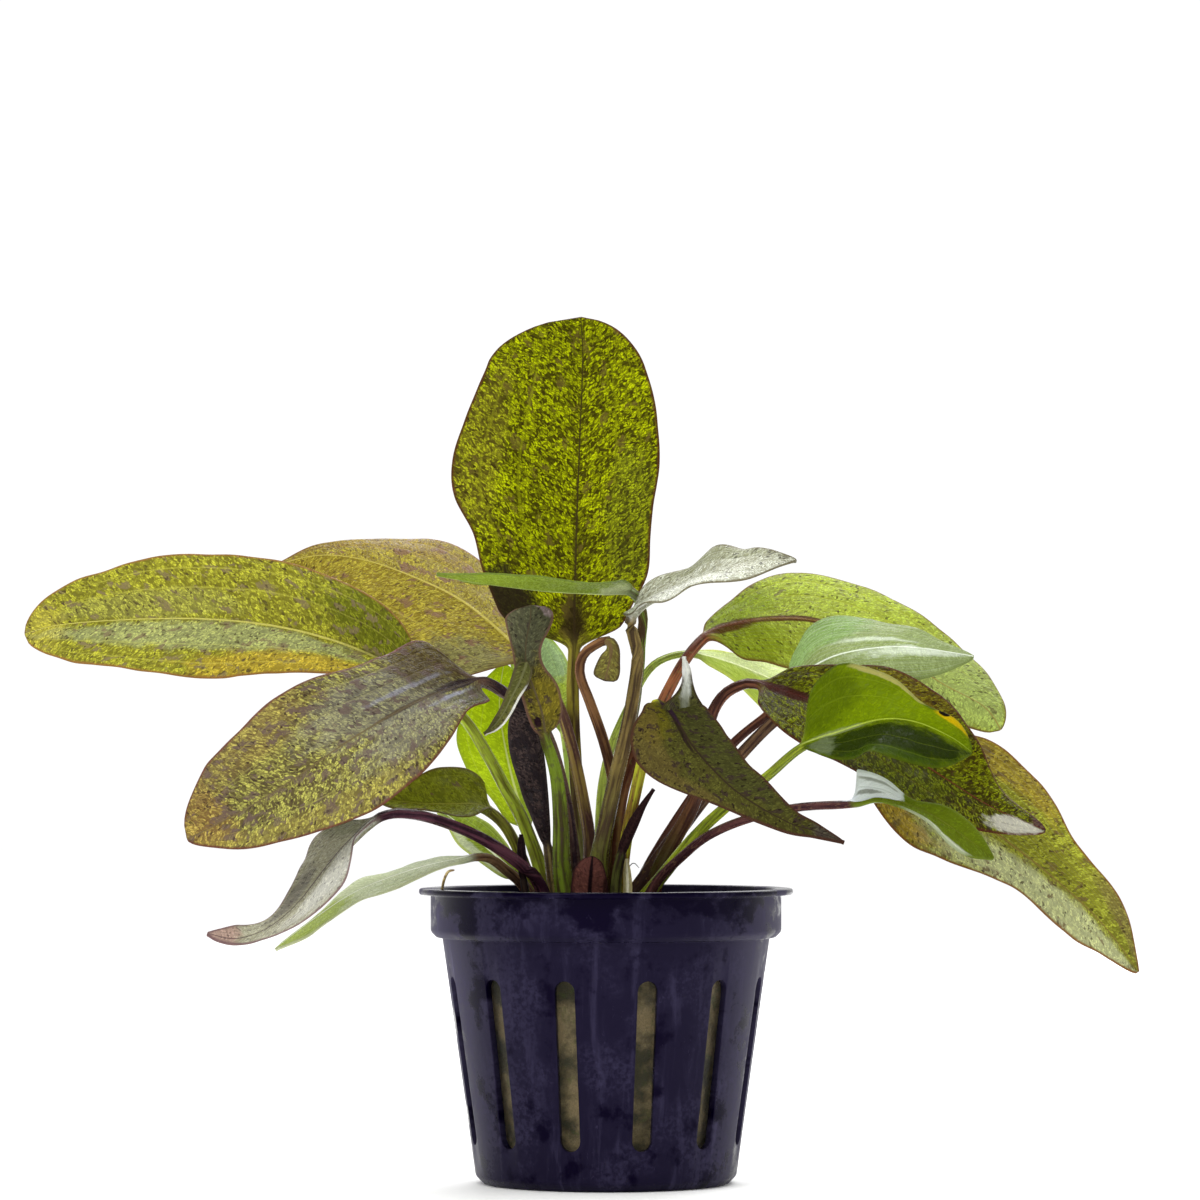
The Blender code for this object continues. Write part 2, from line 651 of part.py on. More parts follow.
def add_pot():
    """A thin-walled pot: flat foot, slotted tapered wall, straight collar and a flat lip."""
    lip_under = POT_HEIGHT - LIP_THICKNESS
    shoulder = lip_under - COLLAR_HEIGHT
    inside = COLLAR_RADIUS - WALL
    profile = (
        (0.0, 0.0),
        (FOOT_RADIUS - FOOT_CHAMFER, 0.0),
        (FOOT_RADIUS, FOOT_CHAMFER),
        (SHOULDER_RADIUS, shoulder),
        (COLLAR_RADIUS - COLLAR_STEP, shoulder),
        (COLLAR_RADIUS, shoulder + COLLAR_STEP),
        (COLLAR_RADIUS, lip_under),
        (LIP_RADIUS - LIP_EDGE, lip_under),
        (LIP_RADIUS, lip_under + LIP_THICKNESS / 2),
        (LIP_RADIUS - LIP_EDGE, POT_HEIGHT),
        (inside + LIP_EDGE, POT_HEIGHT),
        (inside, POT_HEIGHT - LIP_EDGE),
        (inside, shoulder + WALL),
        (wall_radius(shoulder) - WALL, shoulder + WALL / 2),
        (FOOT_RADIUS - WALL, FLOOR + WALL),
        (FOOT_RADIUS - 2 * WALL, FLOOR),
        (0.0, FLOOR),
    )
    pot = add_turned("pot", profile, POT_SIDES, "pot_plastic")
    cut = pot.modifiers.new("slots", "BOOLEAN")
    cut.operation = "DIFFERENCE"
    cut.solver = "EXACT"
    cut.object = add_slot_cutter()
    return pot


def add_slot_cutter():
    """Upright blocks that cut the wall's slots."""
    shape = bmesh.new()
    inner, outer = FOOT_RADIUS - WALL - CUT_OVERSHOOT, COLLAR_RADIUS + CUT_OVERSHOOT
    for k in range(SLOT_COUNT):
        turn = math.tau * (k + 0.5) / SLOT_COUNT
        radial = Vector((math.cos(turn), math.sin(turn), 0))
        sideways = Vector((-math.sin(turn), math.cos(turn), 0)) * SLOT_WIDTH / 2
        corners = [
            shape.verts.new(radial * r + sideways * side + Vector((0, 0, z)))
            for z in (SLOT_BOTTOM, SLOT_TOP)
            for r, side in ((inner, -1), (outer, -1), (outer, 1), (inner, 1))
        ]
        shape.faces.new(corners[3::-1])
        shape.faces.new(corners[4:])
        for a, b in ((0, 1), (1, 2), (2, 3), (3, 0)):
            shape.faces.new((corners[a], corners[b], corners[b + 4], corners[a + 4]))
    cutter = add_object("slot_cutter", shape, "pot_plastic")
    cutter.hide_render = True
    cutter.display_type = "WIRE"
    return cutter


def add_wool():
    """The mineral wool plug that fills the pot up to a little below its lip."""
    bottom = FLOOR + GAP
    low_radius = FOOT_RADIUS - 2 * WALL - GAP
    top_radius = wall_radius(WOOL_TOP) - WALL - WOOL_CLEARANCE
    profile = (
        (0.0, bottom),
        (low_radius, bottom),
        (wall_radius(SLOT_BOTTOM) - WALL - WOOL_CLEARANCE, SLOT_BOTTOM),
        (top_radius, WOOL_TOP - WOOL_EDGE_DROP),
        (top_radius - WOOL_EDGE_INSET, WOOL_TOP),
        (0.0, WOOL_TOP),
    )
    return add_turned("mineral_wool", profile, WOOL_SIDES, "mineral_wool")


def add_crown():
    """The squat crown that every stalk rises from."""
    bottom = WOOL_TOP + GAP
    steps = [(CROWN_RADIUS * out, bottom + CROWN_HEIGHT * up) for out, up in CROWN_PROFILE]
    profile = ((0.0, bottom), *steps, (0.0, bottom + CROWN_HEIGHT))
    return add_turned("crown", profile, CROWN_SIDES, "crown_tissue", CROWN_CENTRE)


def main():
    for thing in list(bpy.data.objects):
        bpy.data.objects.remove(thing)
    add_pot()
    add_wool()
    add_crown()
    for leaf in LEAVES:
        add_loft(leaf.name, leaf_rings(leaf), leaf.finish)


if __name__ == "__main__":
    main()
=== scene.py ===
"""Dresses a potted, red-speckled echinodorus plant.

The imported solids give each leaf's place and size. Every leaf is drawn again here on the same midrib and the
same half widths, with veins, puckers, thin waving margins and a living surface. Tables are in millimetres;
everything else is in metres. The photograph looks along +Y.
"""

import math
from typing import NamedTuple

import bmesh
import bpy
import numpy as np
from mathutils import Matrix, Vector


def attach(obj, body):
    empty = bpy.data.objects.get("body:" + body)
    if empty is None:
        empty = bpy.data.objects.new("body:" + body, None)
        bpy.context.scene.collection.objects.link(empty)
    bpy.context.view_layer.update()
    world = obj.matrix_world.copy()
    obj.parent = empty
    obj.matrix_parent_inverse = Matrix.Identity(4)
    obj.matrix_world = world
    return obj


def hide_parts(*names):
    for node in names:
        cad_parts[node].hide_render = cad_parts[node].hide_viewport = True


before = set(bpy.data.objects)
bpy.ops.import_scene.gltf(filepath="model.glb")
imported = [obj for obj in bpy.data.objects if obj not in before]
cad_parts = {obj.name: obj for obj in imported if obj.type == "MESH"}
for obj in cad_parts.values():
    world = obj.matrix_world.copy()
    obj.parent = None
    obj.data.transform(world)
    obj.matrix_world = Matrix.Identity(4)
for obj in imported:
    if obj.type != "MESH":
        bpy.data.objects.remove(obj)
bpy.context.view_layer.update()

bl_info = {
    "name": "Potted Echinodorus",
    "version": (1, 0, 0),
    "blender": (4, 5, 0),
    "location": "View3D > Sidebar > Echinodorus",
    "description": "Builds the leaves, crown, wool, pot and stage of a potted echinodorus plant",
    "category": "Add Mesh",
}

MM = 0.001
BODY = "root"

# The leaf rule, as the solids use it
RIB_AT_TIP = 0.15 * MM
TIP_HALF_WIDTH = 0.3 * MM
MERGE_SHARE = 0.07
BASE_ROUNDING = 0.12
TIP_ROUNDING = 0.14
SAMPLES_PER_SPAN = 24
DIRECTION_REACH = 0.8 * MM

# Fine form of a leaf, as shares of a half blade from midrib (0) to margin (1)
LATERAL_VEINS = (0.48, 0.78)
VEIN_REACH = 0.03
CREASE = 0.15  # how far out the blade turns beside its midrib
MARGIN_START, MARGIN_WIDTH = 0.9, 0.1  # where the blade rounds off
THINNING = 0.35  # how much thinner a blade is at its margin
HALF_COLUMNS = (
    0.0, 0.018, 0.045, 0.09, 0.15, 0.22, 0.29, 0.36, 0.42, 0.455, 0.48, 0.505, 0.54,
    0.6, 0.66, 0.72, 0.755, 0.78, 0.805, 0.84, 0.88, 0.92, 0.95, 0.972, 0.988, 1.0,
)
CREASE_CURVE = 1.2
PILLOW = 0.035  # how far a half blade bulges, as a share of its width
OUTLINE_WANDER = 0.018  # as a share of the half width
WANDER_LENGTH = 7 * MM
NOISE_APART = 9.0  # keeps the noises of the two sides apart
NARROW = 5 * MM  # narrower half blades have less relief
RIB_ABOVE, RIB_BELOW = 0.22, 0.85  # how far the midrib stands out, as a share of its radius
CROSS_VEINS_UP, CROSS_VEINS_OUT = 0.77, 0.64  # the slant of the cross veins
QUILT_LENGTH = 3.1  # millimetres, as the pucker and ruffle lengths are
PUCKER_ACROSS, PUCKER_ALONG = 2.6, 3.4
RUFFLE_LENGTH = 8.5
FINE_RUFFLE_LENGTH = 3.1
FINE_RUFFLE = 0.35  # as a share of the large ruffles
LEAST_STATIONS = 16
END_CROWDING = 0.28
RIPPLE_SIZE = 64  # units until the noise repeats

# Fine form of a stalk
STALK_GAPS = 2.2  # its rings lie further apart than a blade's
STALK_RIBS = 5
STALK_RIBBING = 0.05
STALK_GRAIN = 0.03
GRAIN_LENGTH = 4 * MM
FOOT_FLARE = 0.35
FLARE_LENGTH = 3.0 * MM
ROOT_DEPTH = 1.0 * MM

# Pot, wool and crown, as the solids have them
GAP = 0.3 * MM
POT_HEIGHT = 44.0 * MM
LIP_RADIUS = 28.0 * MM
LIP_THICKNESS = 0.9 * MM
COLLAR_RADIUS = 26.25 * MM
COLLAR_HEIGHT = 6.4 * MM
WALL = 1.0 * MM
SHOULDER_RADIUS = 24.5 * MM
FOOT_RADIUS = 19.5 * MM
FOOT_CHAMFER = 1.2 * MM
FOOT_RING = 1.6 * MM  # width of the ring that the pot stands on
FOOT_HOLLOW = 0.6 * MM  # how high the underside lies inside that ring
FLOOR = 1.2 * MM
LIP_EDGE = 0.4 * MM
CRISP_EDGE = 0.25 * MM
COLLAR_STEP = 0.9 * MM
POT_SIDES = 192
SLOT_COUNT = 12
SLOT_WIDTH = 3.0 * MM
SLOT_BOTTOM = 6.0 * MM
SLOT_TOP = 31.0 * MM
SLOT_END_STEPS = 10
SLOT_EDGE = 0.12 * MM
CUT_OVERSHOOT = 2.0 * MM
SHARP_EDGE = 42  # degrees
BEVEL_FROM = 50  # degrees
WOOL_TOP = POT_HEIGHT - 6.2 * MM
WOOL_CLEARANCE = 0.7 * MM
WOOL_BUMPS = ((0.55, 3.4 * MM, 71), (0.35, 1.1 * MM, 72))  # height in millimetres, length, seed
WOOL_SLUMP = 1.4  # millimetres that its top falls at the wall
WOOL_ROUGHNESS = 0.35 * MM
SOFT_SIDES = 120
CROWN_CENTRE = Vector((-1.6, -2.4, 0.0)) * MM
CROWN_RADIUS = 11.4 * MM
CROWN_HEIGHT = 2.0 * MM
CROWN_RING = 0.28 * MM
CROWN_LUMPS, CROWN_RIDGES = 0.22, 0.06  # millimetres

# Loose wool strands, in millimetres; the bend is in radians
STRAND_SEED = 40
STRAND_STEPS = 8
STRAND_BEND = 1.4
STRAND_LENGTHS = (2.5, 9.0)
STRAND_LIFTS = (0.05, 0.8)
STRAND_RADII = (0.035, 0.075)

# Loose fibres: name, points and radius in millimetres, pale and dark colour
FIBRES = (
    ("straw_at_rim", ((-24.6, -6.0, 41.0), (-24.2, -9.0, 44.6), (-23.4, -12.4, 46.6), (-22.4, -14.0, 47.0)),
     0.22, (196, 172, 110), (132, 104, 60)),
    ("dark_hair", ((3.0, -8.6, 46.4), (3.6, -8.9, 47.6), (4.2, -9.0, 47.9), (4.9, -8.8, 47.2)),
     0.07, (40, 26, 24), (20, 12, 14)),
)
FIBRE_STEPS = 8

# Stage, in metres
STAGE_RADIUS = 3.0
STAGE_SIDES = 96
EYE = Vector((-0.9, -800.0, 63.5)) * MM
AIM = Vector((-0.9, 0.0, 87.2)) * MM
KEY_PLACE, KEY_SIZE = Vector((-0.45, -0.55, 0.75)), 0.5
BACK_PLACE, BACK_SIZE = Vector((0.15, 0.6, 0.7)), 0.7
NEAREST_SEEN = 0.01

# Leaf finish: small cells per millimetre outwards and upwards, and how a patch tints bright and deep cells
CELLS_OUT = 2.4
CELLS_UP = 3.1
CELL_SLANT = 0.5
CELL_WANDER = 1.1
SIDES_APART = 20.0  # keeps the cells of the two sides apart
UNDERSIDE_APART = 7.0  # the same for a stalk's two faces
MIDRIB_WIDTHS = (0.3, 0.1)  # millimetres at the blade's base and tip
FINE_VEINS = 12.5  # in a half blade
SPOT_TINT = (0.35, 0.3, 0.3)
BLOOM_COLOUR = (0.66, 0.72, 0.62)
UNDERSIDE_COLOUR = (0.5, 0.52, 0.4)
LIGHT_THROUGH = (1.35, 1.3, 0.55)
PATCH_BRIGHT = 1.2
PATCH_DEEP = 0.6


class Leaf(NamedTuple):
    """One leaf or sheath, in millimetres.

    finish    the kind of surface, which chooses the operator that adds the leaf
    path      the midrib from the crown to the tip
    stalk     how many points of the path belong to the stalk
    round     the stalk's radius at the crown and at the blade
    left      half widths of the blade's left side, evenly spaced from base to tip
    right     the same for the right side; left and right are as seen on the upper face, tip up
    faces     where the upper face looks, evenly spaced from base to tip
    lifts     by how many degrees the left and the right side rise from flat
    wave      how far the margins wave, and how often
    """

    name: str
    finish: str
    path: tuple
    stalk: int
    round: tuple
    left: tuple
    right: tuple
    faces: tuple
    lifts: tuple = (10, 10)
    wave: tuple = (0.4, 2.0)


LEAVES = (
    Leaf(
        "leaf_top", "speckled_leaf",
        ((-2.2, 0.3, 40.4), (-3, 2.5, 48), (-4.2, 3.8, 57), (-4.8, 4, 66), (-5, 3, 73.5), (-4.8, 2, 79.5),
         (-4.7, 2.5, 87.3), (-4.4, 3.5, 99.4), (-3.9, 4, 113), (-3.5, 3, 123.5), (-3.8, 1, 129.8)),
        6, (1.1, 0.9),
        (8, 11.6, 13.9, 15.5, 18.8, 19.2, 17.8, 15.9, 14.2, 15),
        (7.6, 8.9, 11.5, 11.9, 12.4, 13, 12.5, 11.3, 9.3, 8.3),
        ((0, -1, 0),), (8, 20),
    ),
    Leaf(
        "leaf_edge_on", "green_leaf",
        ((-0.4, -2.4, 40.4), (0.4, -2.4, 48), (1.6, -1.8, 57), (3, -1.8, 62), (3.6, -3.6, 67.5),
         (4.6, -5.2, 73.7), (5.2, -5.4, 80.4), (5.4, -6.2, 85.4), (3.6, -9.4, 88.2), (-0.4, -15, 88.2),
         (-6.7, -21.5, 88.2), (-13.2, -26.6, 88.6), (-19.7, -30.5, 89.3), (-24.4, -32, 90)),
        9, (0.9, 0.7),
        (1, 4.5, 7.5, 8, 7.5, 5.5, 2),
        (1, 4.5, 7.5, 8, 7.5, 5.5, 2),
        ((0, 0.02, 1),), (5, 5), (0.3, 2.0),
    ),
    Leaf(
        "leaf_silver", "silvery_leaf",
        ((-1.4, -6.4, 40.4), (-1.2, -7, 47.6), (0.1, -7.6, 54), (1.6, -8, 61), (3, -7.9, 66.9),
         (4.1, -8.2, 72.9), (4.7, -8.8, 78.8), (3.6, -10.3, 83.6), (5.6, -13, 86.4), (10.5, -19, 88.4),
         (16.1, -26, 90.6), (22.1, -32, 91.6), (27.2, -35, 91.8)),
        8, (1.4, 0.85),
        (5, 5.5, 6.2, 6.8, 4.8, 2.9, 1.5),
        (2, 6, 8, 9, 9, 6.5, 2.5),
        ((0, -0.35, 0.94),), (28, -8), (0.5, 3.0),
    ),
    Leaf(
        "leaf_curled", "russet_leaf",
        ((1.3, 0.5, 40.4), (2.1, 2, 48.2), (1.7, 2, 55.7), (0.8, 1.5, 61.4), (-0.5, 0, 66.5),
         (-2.4, -1.5, 71.9), (-3.9, -2.5, 76.1), (-3.4, -3.2, 78.9), (-1.4, -4.2, 80.5), (0.2, -5, 81),
         (0.8, -6.4, 79.7), (0.4, -7.8, 77.4), (-0.2, -9, 75)),
        10, (0.9, 0.7),
        (0.8, 1.3, 1.7, 2.0, 1.9),
        (0.8, 1.2, 1.6, 2.0, 1.9),
        ((0.1, 0.9, 0.4),), (15, 15), (0.2, 1.0),
    ),
    Leaf(
        "leaf_far_left", "speckled_leaf",
        ((-6.6, 0.2, 40.4), (-9, 1, 44.5), (-10.8, 1.5, 49.7), (-12.9, 0.5, 55), (-15.1, -1, 59),
         (-17.6, -2, 63.7), (-20.6, -3, 68.6), (-24, -4, 72), (-27.3, -5, 74.4), (-30.7, -6, 76.5),
         (-38.1, -7, 79.9), (-45.4, -8, 82.1), (-52.8, -8.5, 83.4), (-61.7, -9, 84), (-72.1, -9, 83.8),
         (-81, -8.5, 83.1), (-86.3, -8, 81.8)),
        9, (1.1, 0.75),
        (3, 5.6, 8.8, 11.6, 12, 9.2, 6.3),
        (4, 8.8, 11.1, 11.4, 10.7, 8.4, 4.6),
        ((0, -0.8, 0.6),), (10, 10),
    ),
    Leaf(
        "leaf_back_left", "russet_leaf",
        ((-3.4, -2.6, 40.4), (-2.4, -1, 49.8), (-3.4, -0.6, 57.2), (-4.8, 0, 64), (-6.5, 1.5, 70),
         (-8.7, 5, 74.5), (-11.5, 10, 78.1), (-15, 16, 81.6), (-21, 23, 86.8), (-27.3, 29, 90.4),
         (-37, 36, 94.2), (-45, 40, 95.3), (-52.2, 42, 93.8)),
        7, (1.0, 0.8),
        (10, 14, 15.2, 14.9, 12.9, 9.5, 4.4),
        (2, 3.2, 7.1, 11, 10.8, 5, 1.2),
        ((0, -0.85, 0.5),), (0, -25),
    ),
    Leaf(
        "leaf_front_left", "speckled_leaf",
        ((-4.3, -5, 40.4), (-4.9, -4.2, 48.3), (-5.8, -4.2, 55), (-7.2, -5, 61.7), (-8.9, -6, 66.8),
         (-11.6, -6.4, 70.9), (-14.8, -7.8, 73), (-17, -10, 74.4), (-18.7, -12.4, 74.7),
         (-22.1, -17.5, 73.7), (-28.4, -27, 71), (-36.7, -36, 65.9), (-45, -41, 60), (-52.6, -43, 55.3),
         (-59.4, -43, 51.9)),
        9, (1.1, 0.85),
        (5.6, 5.6, 9, 11.7, 12.1, 7.6, 3),
        (10.2, 9.6, 9.8, 11.3, 11.6, 9.6, 6.8),
        ((0, -0.85, 0.5),), (8, 8),
    ),
    Leaf(
        "leaf_twisted", "russet_leaf",
        ((-5.3, -8, 40.4), (-6.5, -8.5, 46.9), (-6.7, -9.5, 54.3), (-7.3, -11, 60.6), (-8.3, -12, 64.4),
         (-9, -13.2, 66.5), (-9.5, -14.2, 70), (-10.5, -14.8, 73.3), (-11.6, -15, 76.7),
         (-11.7, -14.8, 80.2), (-11.1, -14.4, 83.6), (-11, -14, 86)),
        6, (1.5, 0.8),
        (1.4, 2.2, 2.2, 1.9, 2.3, 4, 4.9),
        (1.8, 3.1, 3.5, 2.7, 2.5, 3.6, 4.8),
        ((0.35, -1, 0.1), (0.25, -1, 0), (0, -1, 0), (-0.35, -1, 0), (-0.5, -1, 0), (-0.4, -1, 0.15)),
        (5, 5), (0.2, 1.0),
    ),
    Leaf(
        "leaf_dark", "withered_leaf",
        ((-7, -5.4, 40.4), (-8, -5.5, 45.4), (-8.6, -6, 49.8), (-9.4, -7.5, 57.3), (-10.2, -9, 63.2),
         (-11.4, -10.2, 69.4), (-12.6, -10.6, 72.8)),
        3, (0.9, 0.7),
        (0.8, 2, 3.2, 4, 4, 2),
        (0.5, 0.8, 1, 1.2, 1.2, 0.8),
        ((0.3, -1, 0),), (5, 5), (0.3, 3.0),
    ),
    Leaf(
        "leaf_lime", "lime_leaf",
        ((-5.2, 3, 40.4), (-9, 7, 46.2), (-11.8, 12, 52.6), (-14.3, 18.5, 60.1), (-15.9, 24, 67.1),
         (-16.5, 27.5, 72.5), (-15.8, 27.5, 78.2)),
        3, (0.9, 0.7),
        (2.5, 4, 6.4, 7.3, 4.8, 1.5),
        (1.5, 2.4, 3.8, 4.5, 4.3, 2.8),
        ((0, -0.9, 0.4),),
    ),
    Leaf(
        "leaf_back_middle", "lime_leaf",
        ((-2.6, 3.6, 40.4), (-3.9, 8, 49.6), (-5.2, 14, 58.6), (-6.3, 20, 67), (-7.7, 27, 71.7),
         (-9.3, 35, 75.7), (-10.8, 41, 79.7), (-12, 45, 83.4)),
        4, (0.9, 0.7),
        (1, 2.4, 4.8, 4.8, 2.2),
        (1, 2.5, 3.8, 4, 2.5),
        ((0, -0.9, 0.4),),
    ),
    Leaf(
        "leaf_low_green", "green_leaf",
        ((-9, -3.4, 40.4), (-11.3, -3.6, 45.3), (-13.1, -4.8, 49.8), (-15, -7, 53.4), (-17.2, -9, 55.5),
         (-19.3, -11.4, 56.4), (-22.9, -14.4, 56.5), (-26.6, -17, 56.6), (-30.2, -19, 57),
         (-33.9, -20, 57.4)),
        5, (0.9, 0.8),
        (1, 4, 6, 5.8, 4.2, 1.6),
        (4.6, 6.2, 6.1, 4.9, 2.7, 0.9),
        ((0, -0.7, 0.7),), (30, 30),
    ),
    Leaf(
        "leaf_striped", "green_leaf",
        ((-9.3, -0.6, 40.4), (-12.6, -0.2, 45.2), (-15.1, 1.2, 47.4), (-17.7, 4, 49.6), (-20.6, 8, 51.8),
         (-23.4, 13, 54.1), (-25.8, 17, 55.6)),
        2, (0.8, 0.6),
        (1.8, 2.9, 2.7, 1.6, 0.8),
        (1, 2.6, 3.4, 2.9, 1.2),
        ((0, -0.8, 0.6),),
    ),
    Leaf(
        "leaf_drooping", "silvery_leaf",
        ((-8.2, -8.9, 40.4), (-10.2, -10.4, 45.5), (-13, -12.4, 48), (-17, -16, 51), (-22.1, -21, 53.6),
         (-27.7, -27, 55.3), (-32.5, -32, 55), (-36.7, -36, 51.4), (-40.1, -39, 47.3), (-43.5, -41, 42.9),
         (-47.7, -42, 39.3), (-52.3, -42, 37.7), (-56.7, -41, 38.5)),
        7, (0.95, 0.7),
        (1, 3.4, 7.4, 11.6, 10.8, 2.1, 1),
        (4.5, 8.9, 7, 4.2, 2.9, 3.1, 1.3),
        ((-0.7, -0.4, 0.55),), (10, 10),
    ),
    Leaf(
        "leaf_pale_low", "silvery_leaf",
        ((-9.9, -7, 40.4), (-12.3, -7.2, 44.6), (-14.8, -8.6, 46.9), (-17, -11.4, 48.6),
         (-19.1, -14.4, 48.9), (-22.2, -17.4, 48.4), (-27.1, -22, 47.3), (-32.1, -26, 45.7),
         (-37, -29, 43.5), (-41.5, -31, 40.5), (-47.5, -33, 36)),
        5, (0.9, 0.6),
        (1.2, 2.4, 3.3, 4.2, 5.6, 4.3, 1.8),
        (2, 8.5, 7.1, 5.4, 4, 1.6, 1.3),
        ((0, -0.25, 0.97),), (8, -14),
    ),
    Leaf(
        "leaf_front_right", "speckled_leaf",
        ((2.3, -7.7, 40.4), (2.4, -7.9, 46.9), (3.2, -9.6, 52.9), (4.4, -13, 58.8), (5.7, -16, 64.7),
         (6.9, -19, 69.1), (7.3, -23, 71.3), (9.6, -30, 69.3), (12.7, -38, 64.4), (18.2, -45, 58.7),
         (25.1, -49, 54.5), (29.3, -50, 53.1), (33.4, -50, 51.6)),
        7, (0.9, 0.8),
        (5.6, 5.6, 5.7, 5.2, 4.2, 2.2, 0.9),
        (1.8, 5, 9.2, 10.5, 4, 1.8, 0.8),
        ((0.3, -0.85, 0.45),), (10, 10),
    ),
    Leaf(
        "leaf_upper_right", "speckled_leaf",
        ((1.1, -4.8, 40.4), (1.3, -5.2, 46.8), (1.8, -5.1, 55), (3.4, -5.2, 61.7), (6.6, -3.4, 68),
         (9.3, 1.5, 73.5), (11.8, 5.5, 78), (14.6, 9.5, 81.4), (17.7, 12.5, 83.3), (25.1, 16, 84.6),
         (32.8, 18, 84.2), (42.1, 19, 80.9), (51.3, 19, 74.9), (57.8, 18, 71.3), (60.4, 17, 67.8)),
        8, (1.0, 0.8),
        (1.4, 6, 12.5, 12.5, 10.9, 9.2, 3.1),
        (5.2, 7.2, 9.1, 8.7, 7.1, 4.8, 5),
        ((0, -0.6, 0.8),), (0, -25),
    ),
    Leaf(
        "leaf_pale_right", "silvery_leaf",
        ((4.2, 0.6, 40.4), (6.3, 1.2, 47), (12.6, 1.2, 57.2), (18.6, 0.4, 65.2), (24, -0.8, 69.8),
         (27.9, -2, 73.1), (29.9, -3, 76.1), (34.9, -4.6, 78.7), (42.2, -7, 79.8), (48.1, -9, 79.4),
         (54.4, -10.5, 78.4)),
        6, (0.9, 0.6),
        (0.8, 11, 10.2, 6.6, 3.3, 1.5),
        (2, 5.2, 7.6, 6.9, 4.5, 2),
        ((0, -0.5, 0.86),), (5, -25),
    ),
    Leaf(
        "leaf_middle_right", "russet_leaf",
        ((6.2, -4.2, 40.4), (7.3, -4.5, 45.3), (9.8, -5, 50.6), (12.9, -6, 56.5), (14.8, -7, 63.2),
         (15.4, -8, 68.9), (17.2, -9.5, 72.5), (19.8, -11, 74.2), (22, -12, 74.4), (26.3, -14, 73.1),
         (31.3, -16, 71.3), (38.6, -18.5, 67.6), (47.2, -21, 61.8), (55.9, -22, 56.3), (64, -22, 52.8)),
        9, (1.25, 0.75),
        (5, 6.8, 11.4, 11.8, 8.8, 4, 2.3),
        (4.2, 8.9, 10.8, 10.3, 10.5, 5.5, 3.2),
        ((0, -0.65, 0.75),),
    ),
    Leaf(
        "leaf_bright_right", "lime_leaf",
        ((3.8, -5.3, 40.4), (7.3, -8, 44.8), (12.8, -14, 51.7), (17.3, -20, 56.2), (23, -26, 60.6),
         (28.1, -32, 65), (33.5, -36, 67.1), (39.1, -39, 68.8), (43.9, -41, 68.5), (48.8, -42, 66.4),
         (51.9, -41, 64.2)),
        6, (1.0, 0.65),
        (8, 10.2, 10.4, 7.4, 3.3, 3, 2),
        (1, 4, 6.9, 9.8, 10.4, 7.9, 2.5),
        ((0, -0.8, 0.6),), (15, 20),
    ),
    Leaf(
        "leaf_small_right", "green_leaf",
        ((5, -7.6, 40.4), (7.5, -11, 45.2), (11.2, -15, 49), (14.9, -19, 52.1), (20.1, -25, 54.5),
         (27.2, -31, 56.3), (34.8, -37, 56.9), (38.4, -39, 57.7), (41.7, -41, 57.1), (45.9, -43, 55.4),
         (50.1, -44, 52.6), (54.8, -43, 49.2)),
        7, (0.7, 0.6),
        (6.2, 3.2, 1.2, 2.4, 2.3, 1.1),
        (0.8, 1, 1.2, 2.5, 3.6, 1.5),
        ((0.2, -0.7, 0.6),), (25, 15),
    ),
    Leaf(
        "leaf_low_right", "speckled_leaf",
        ((2.4, -2.4, 40.4), (6.6, -2, 46.5), (13, -2, 55.4), (19.9, -2, 63.7), (25.9, -2.6, 69.5),
         (30.8, -3, 71.3), (35.3, -3.6, 69.8), (41, -4.4, 65.5), (48.4, -6, 59.5), (57.4, -8, 52.5),
         (66, -10, 45.7), (73.2, -12, 38.8), (78.3, -13, 31.9)),
        7, (1.25, 0.7),
        (4.4, 7.8, 12.6, 12.4, 7.2, 5.6, 1.8),
        (4, 10.5, 13.7, 11.4, 7.7, 7, 3.2),
        ((0.4, -0.75, 0.5),),
    ),
    Leaf(
        "leaf_back_right", "lime_leaf",
        ((0.2, 3.6, 40.4), (-0.9, 6, 49.6), (-0.6, 11, 58.7), (0.9, 16, 65.5), (3.7, 20, 71.8),
         (6, 23, 76.3), (8.7, 25, 78.7), (13.1, 28, 79.6), (19.4, 33, 78.2), (27.4, 38, 75.1),
         (35.3, 41, 71.9), (43.3, 43, 69.2), (49.6, 43, 67.1)),
        8, (0.8, 0.55),
        (1.9, 2.8, 4.5, 7.2, 8.5, 7.1, 2.3),
        (1.5, 3.5, 6.5, 8.2, 8, 6, 2.4),
        ((0, -0.6, 0.8),), (0, -20),
    ),
    Leaf(
        "sheath_brown", "dry_sheath",
        ((-2.4, -11.7, 40.4), (-2.4, -12.3, 44.3), (-2.2, -12.6, 46.7), (-2, -12.4, 49)),
        1, (0.3, 0.3),
        (3, 3.1, 3, 2.7, 1.9),
        (3, 3.1, 2.8, 2.3, 1.5),
        ((0, -1, 0.05),), (-18, -18), (0.25, 2.0),
    ),
    Leaf(
        "sheath_pale", "dry_sheath",
        ((3.1, -9.5, 40.4), (3.2, -9.8, 44.3), (3.1, -10, 46.6), (3, -10, 48.6)),
        1, (0.2, 0.2),
        (0.75, 0.75, 0.7, 0.6, 0.3),
        (0.75, 0.75, 0.7, 0.6, 0.3),
        ((0, -1, 0.05),), (-20, -20), (0.1, 2.0),
    ),
    Leaf(
        "bract_spike", "withered_leaf",
        ((1.3, -10.2, 40.4), (1.5, -10.6, 45.2), (2.2, -11.5, 49.2), (3.5, -12.6, 52.7),
         (5.2, -13.6, 56.1), (7, -14.4, 58.9)),
        3, (0.8, 0.7),
        (0.7, 0.85, 0.8, 0.5, 0.3),
        (0.7, 0.85, 0.8, 0.5, 0.3),
        ((0, -1, 0),), (5, 5), (0.1, 1.0),
    ),
    Leaf(
        "bract_stub", "withered_leaf",
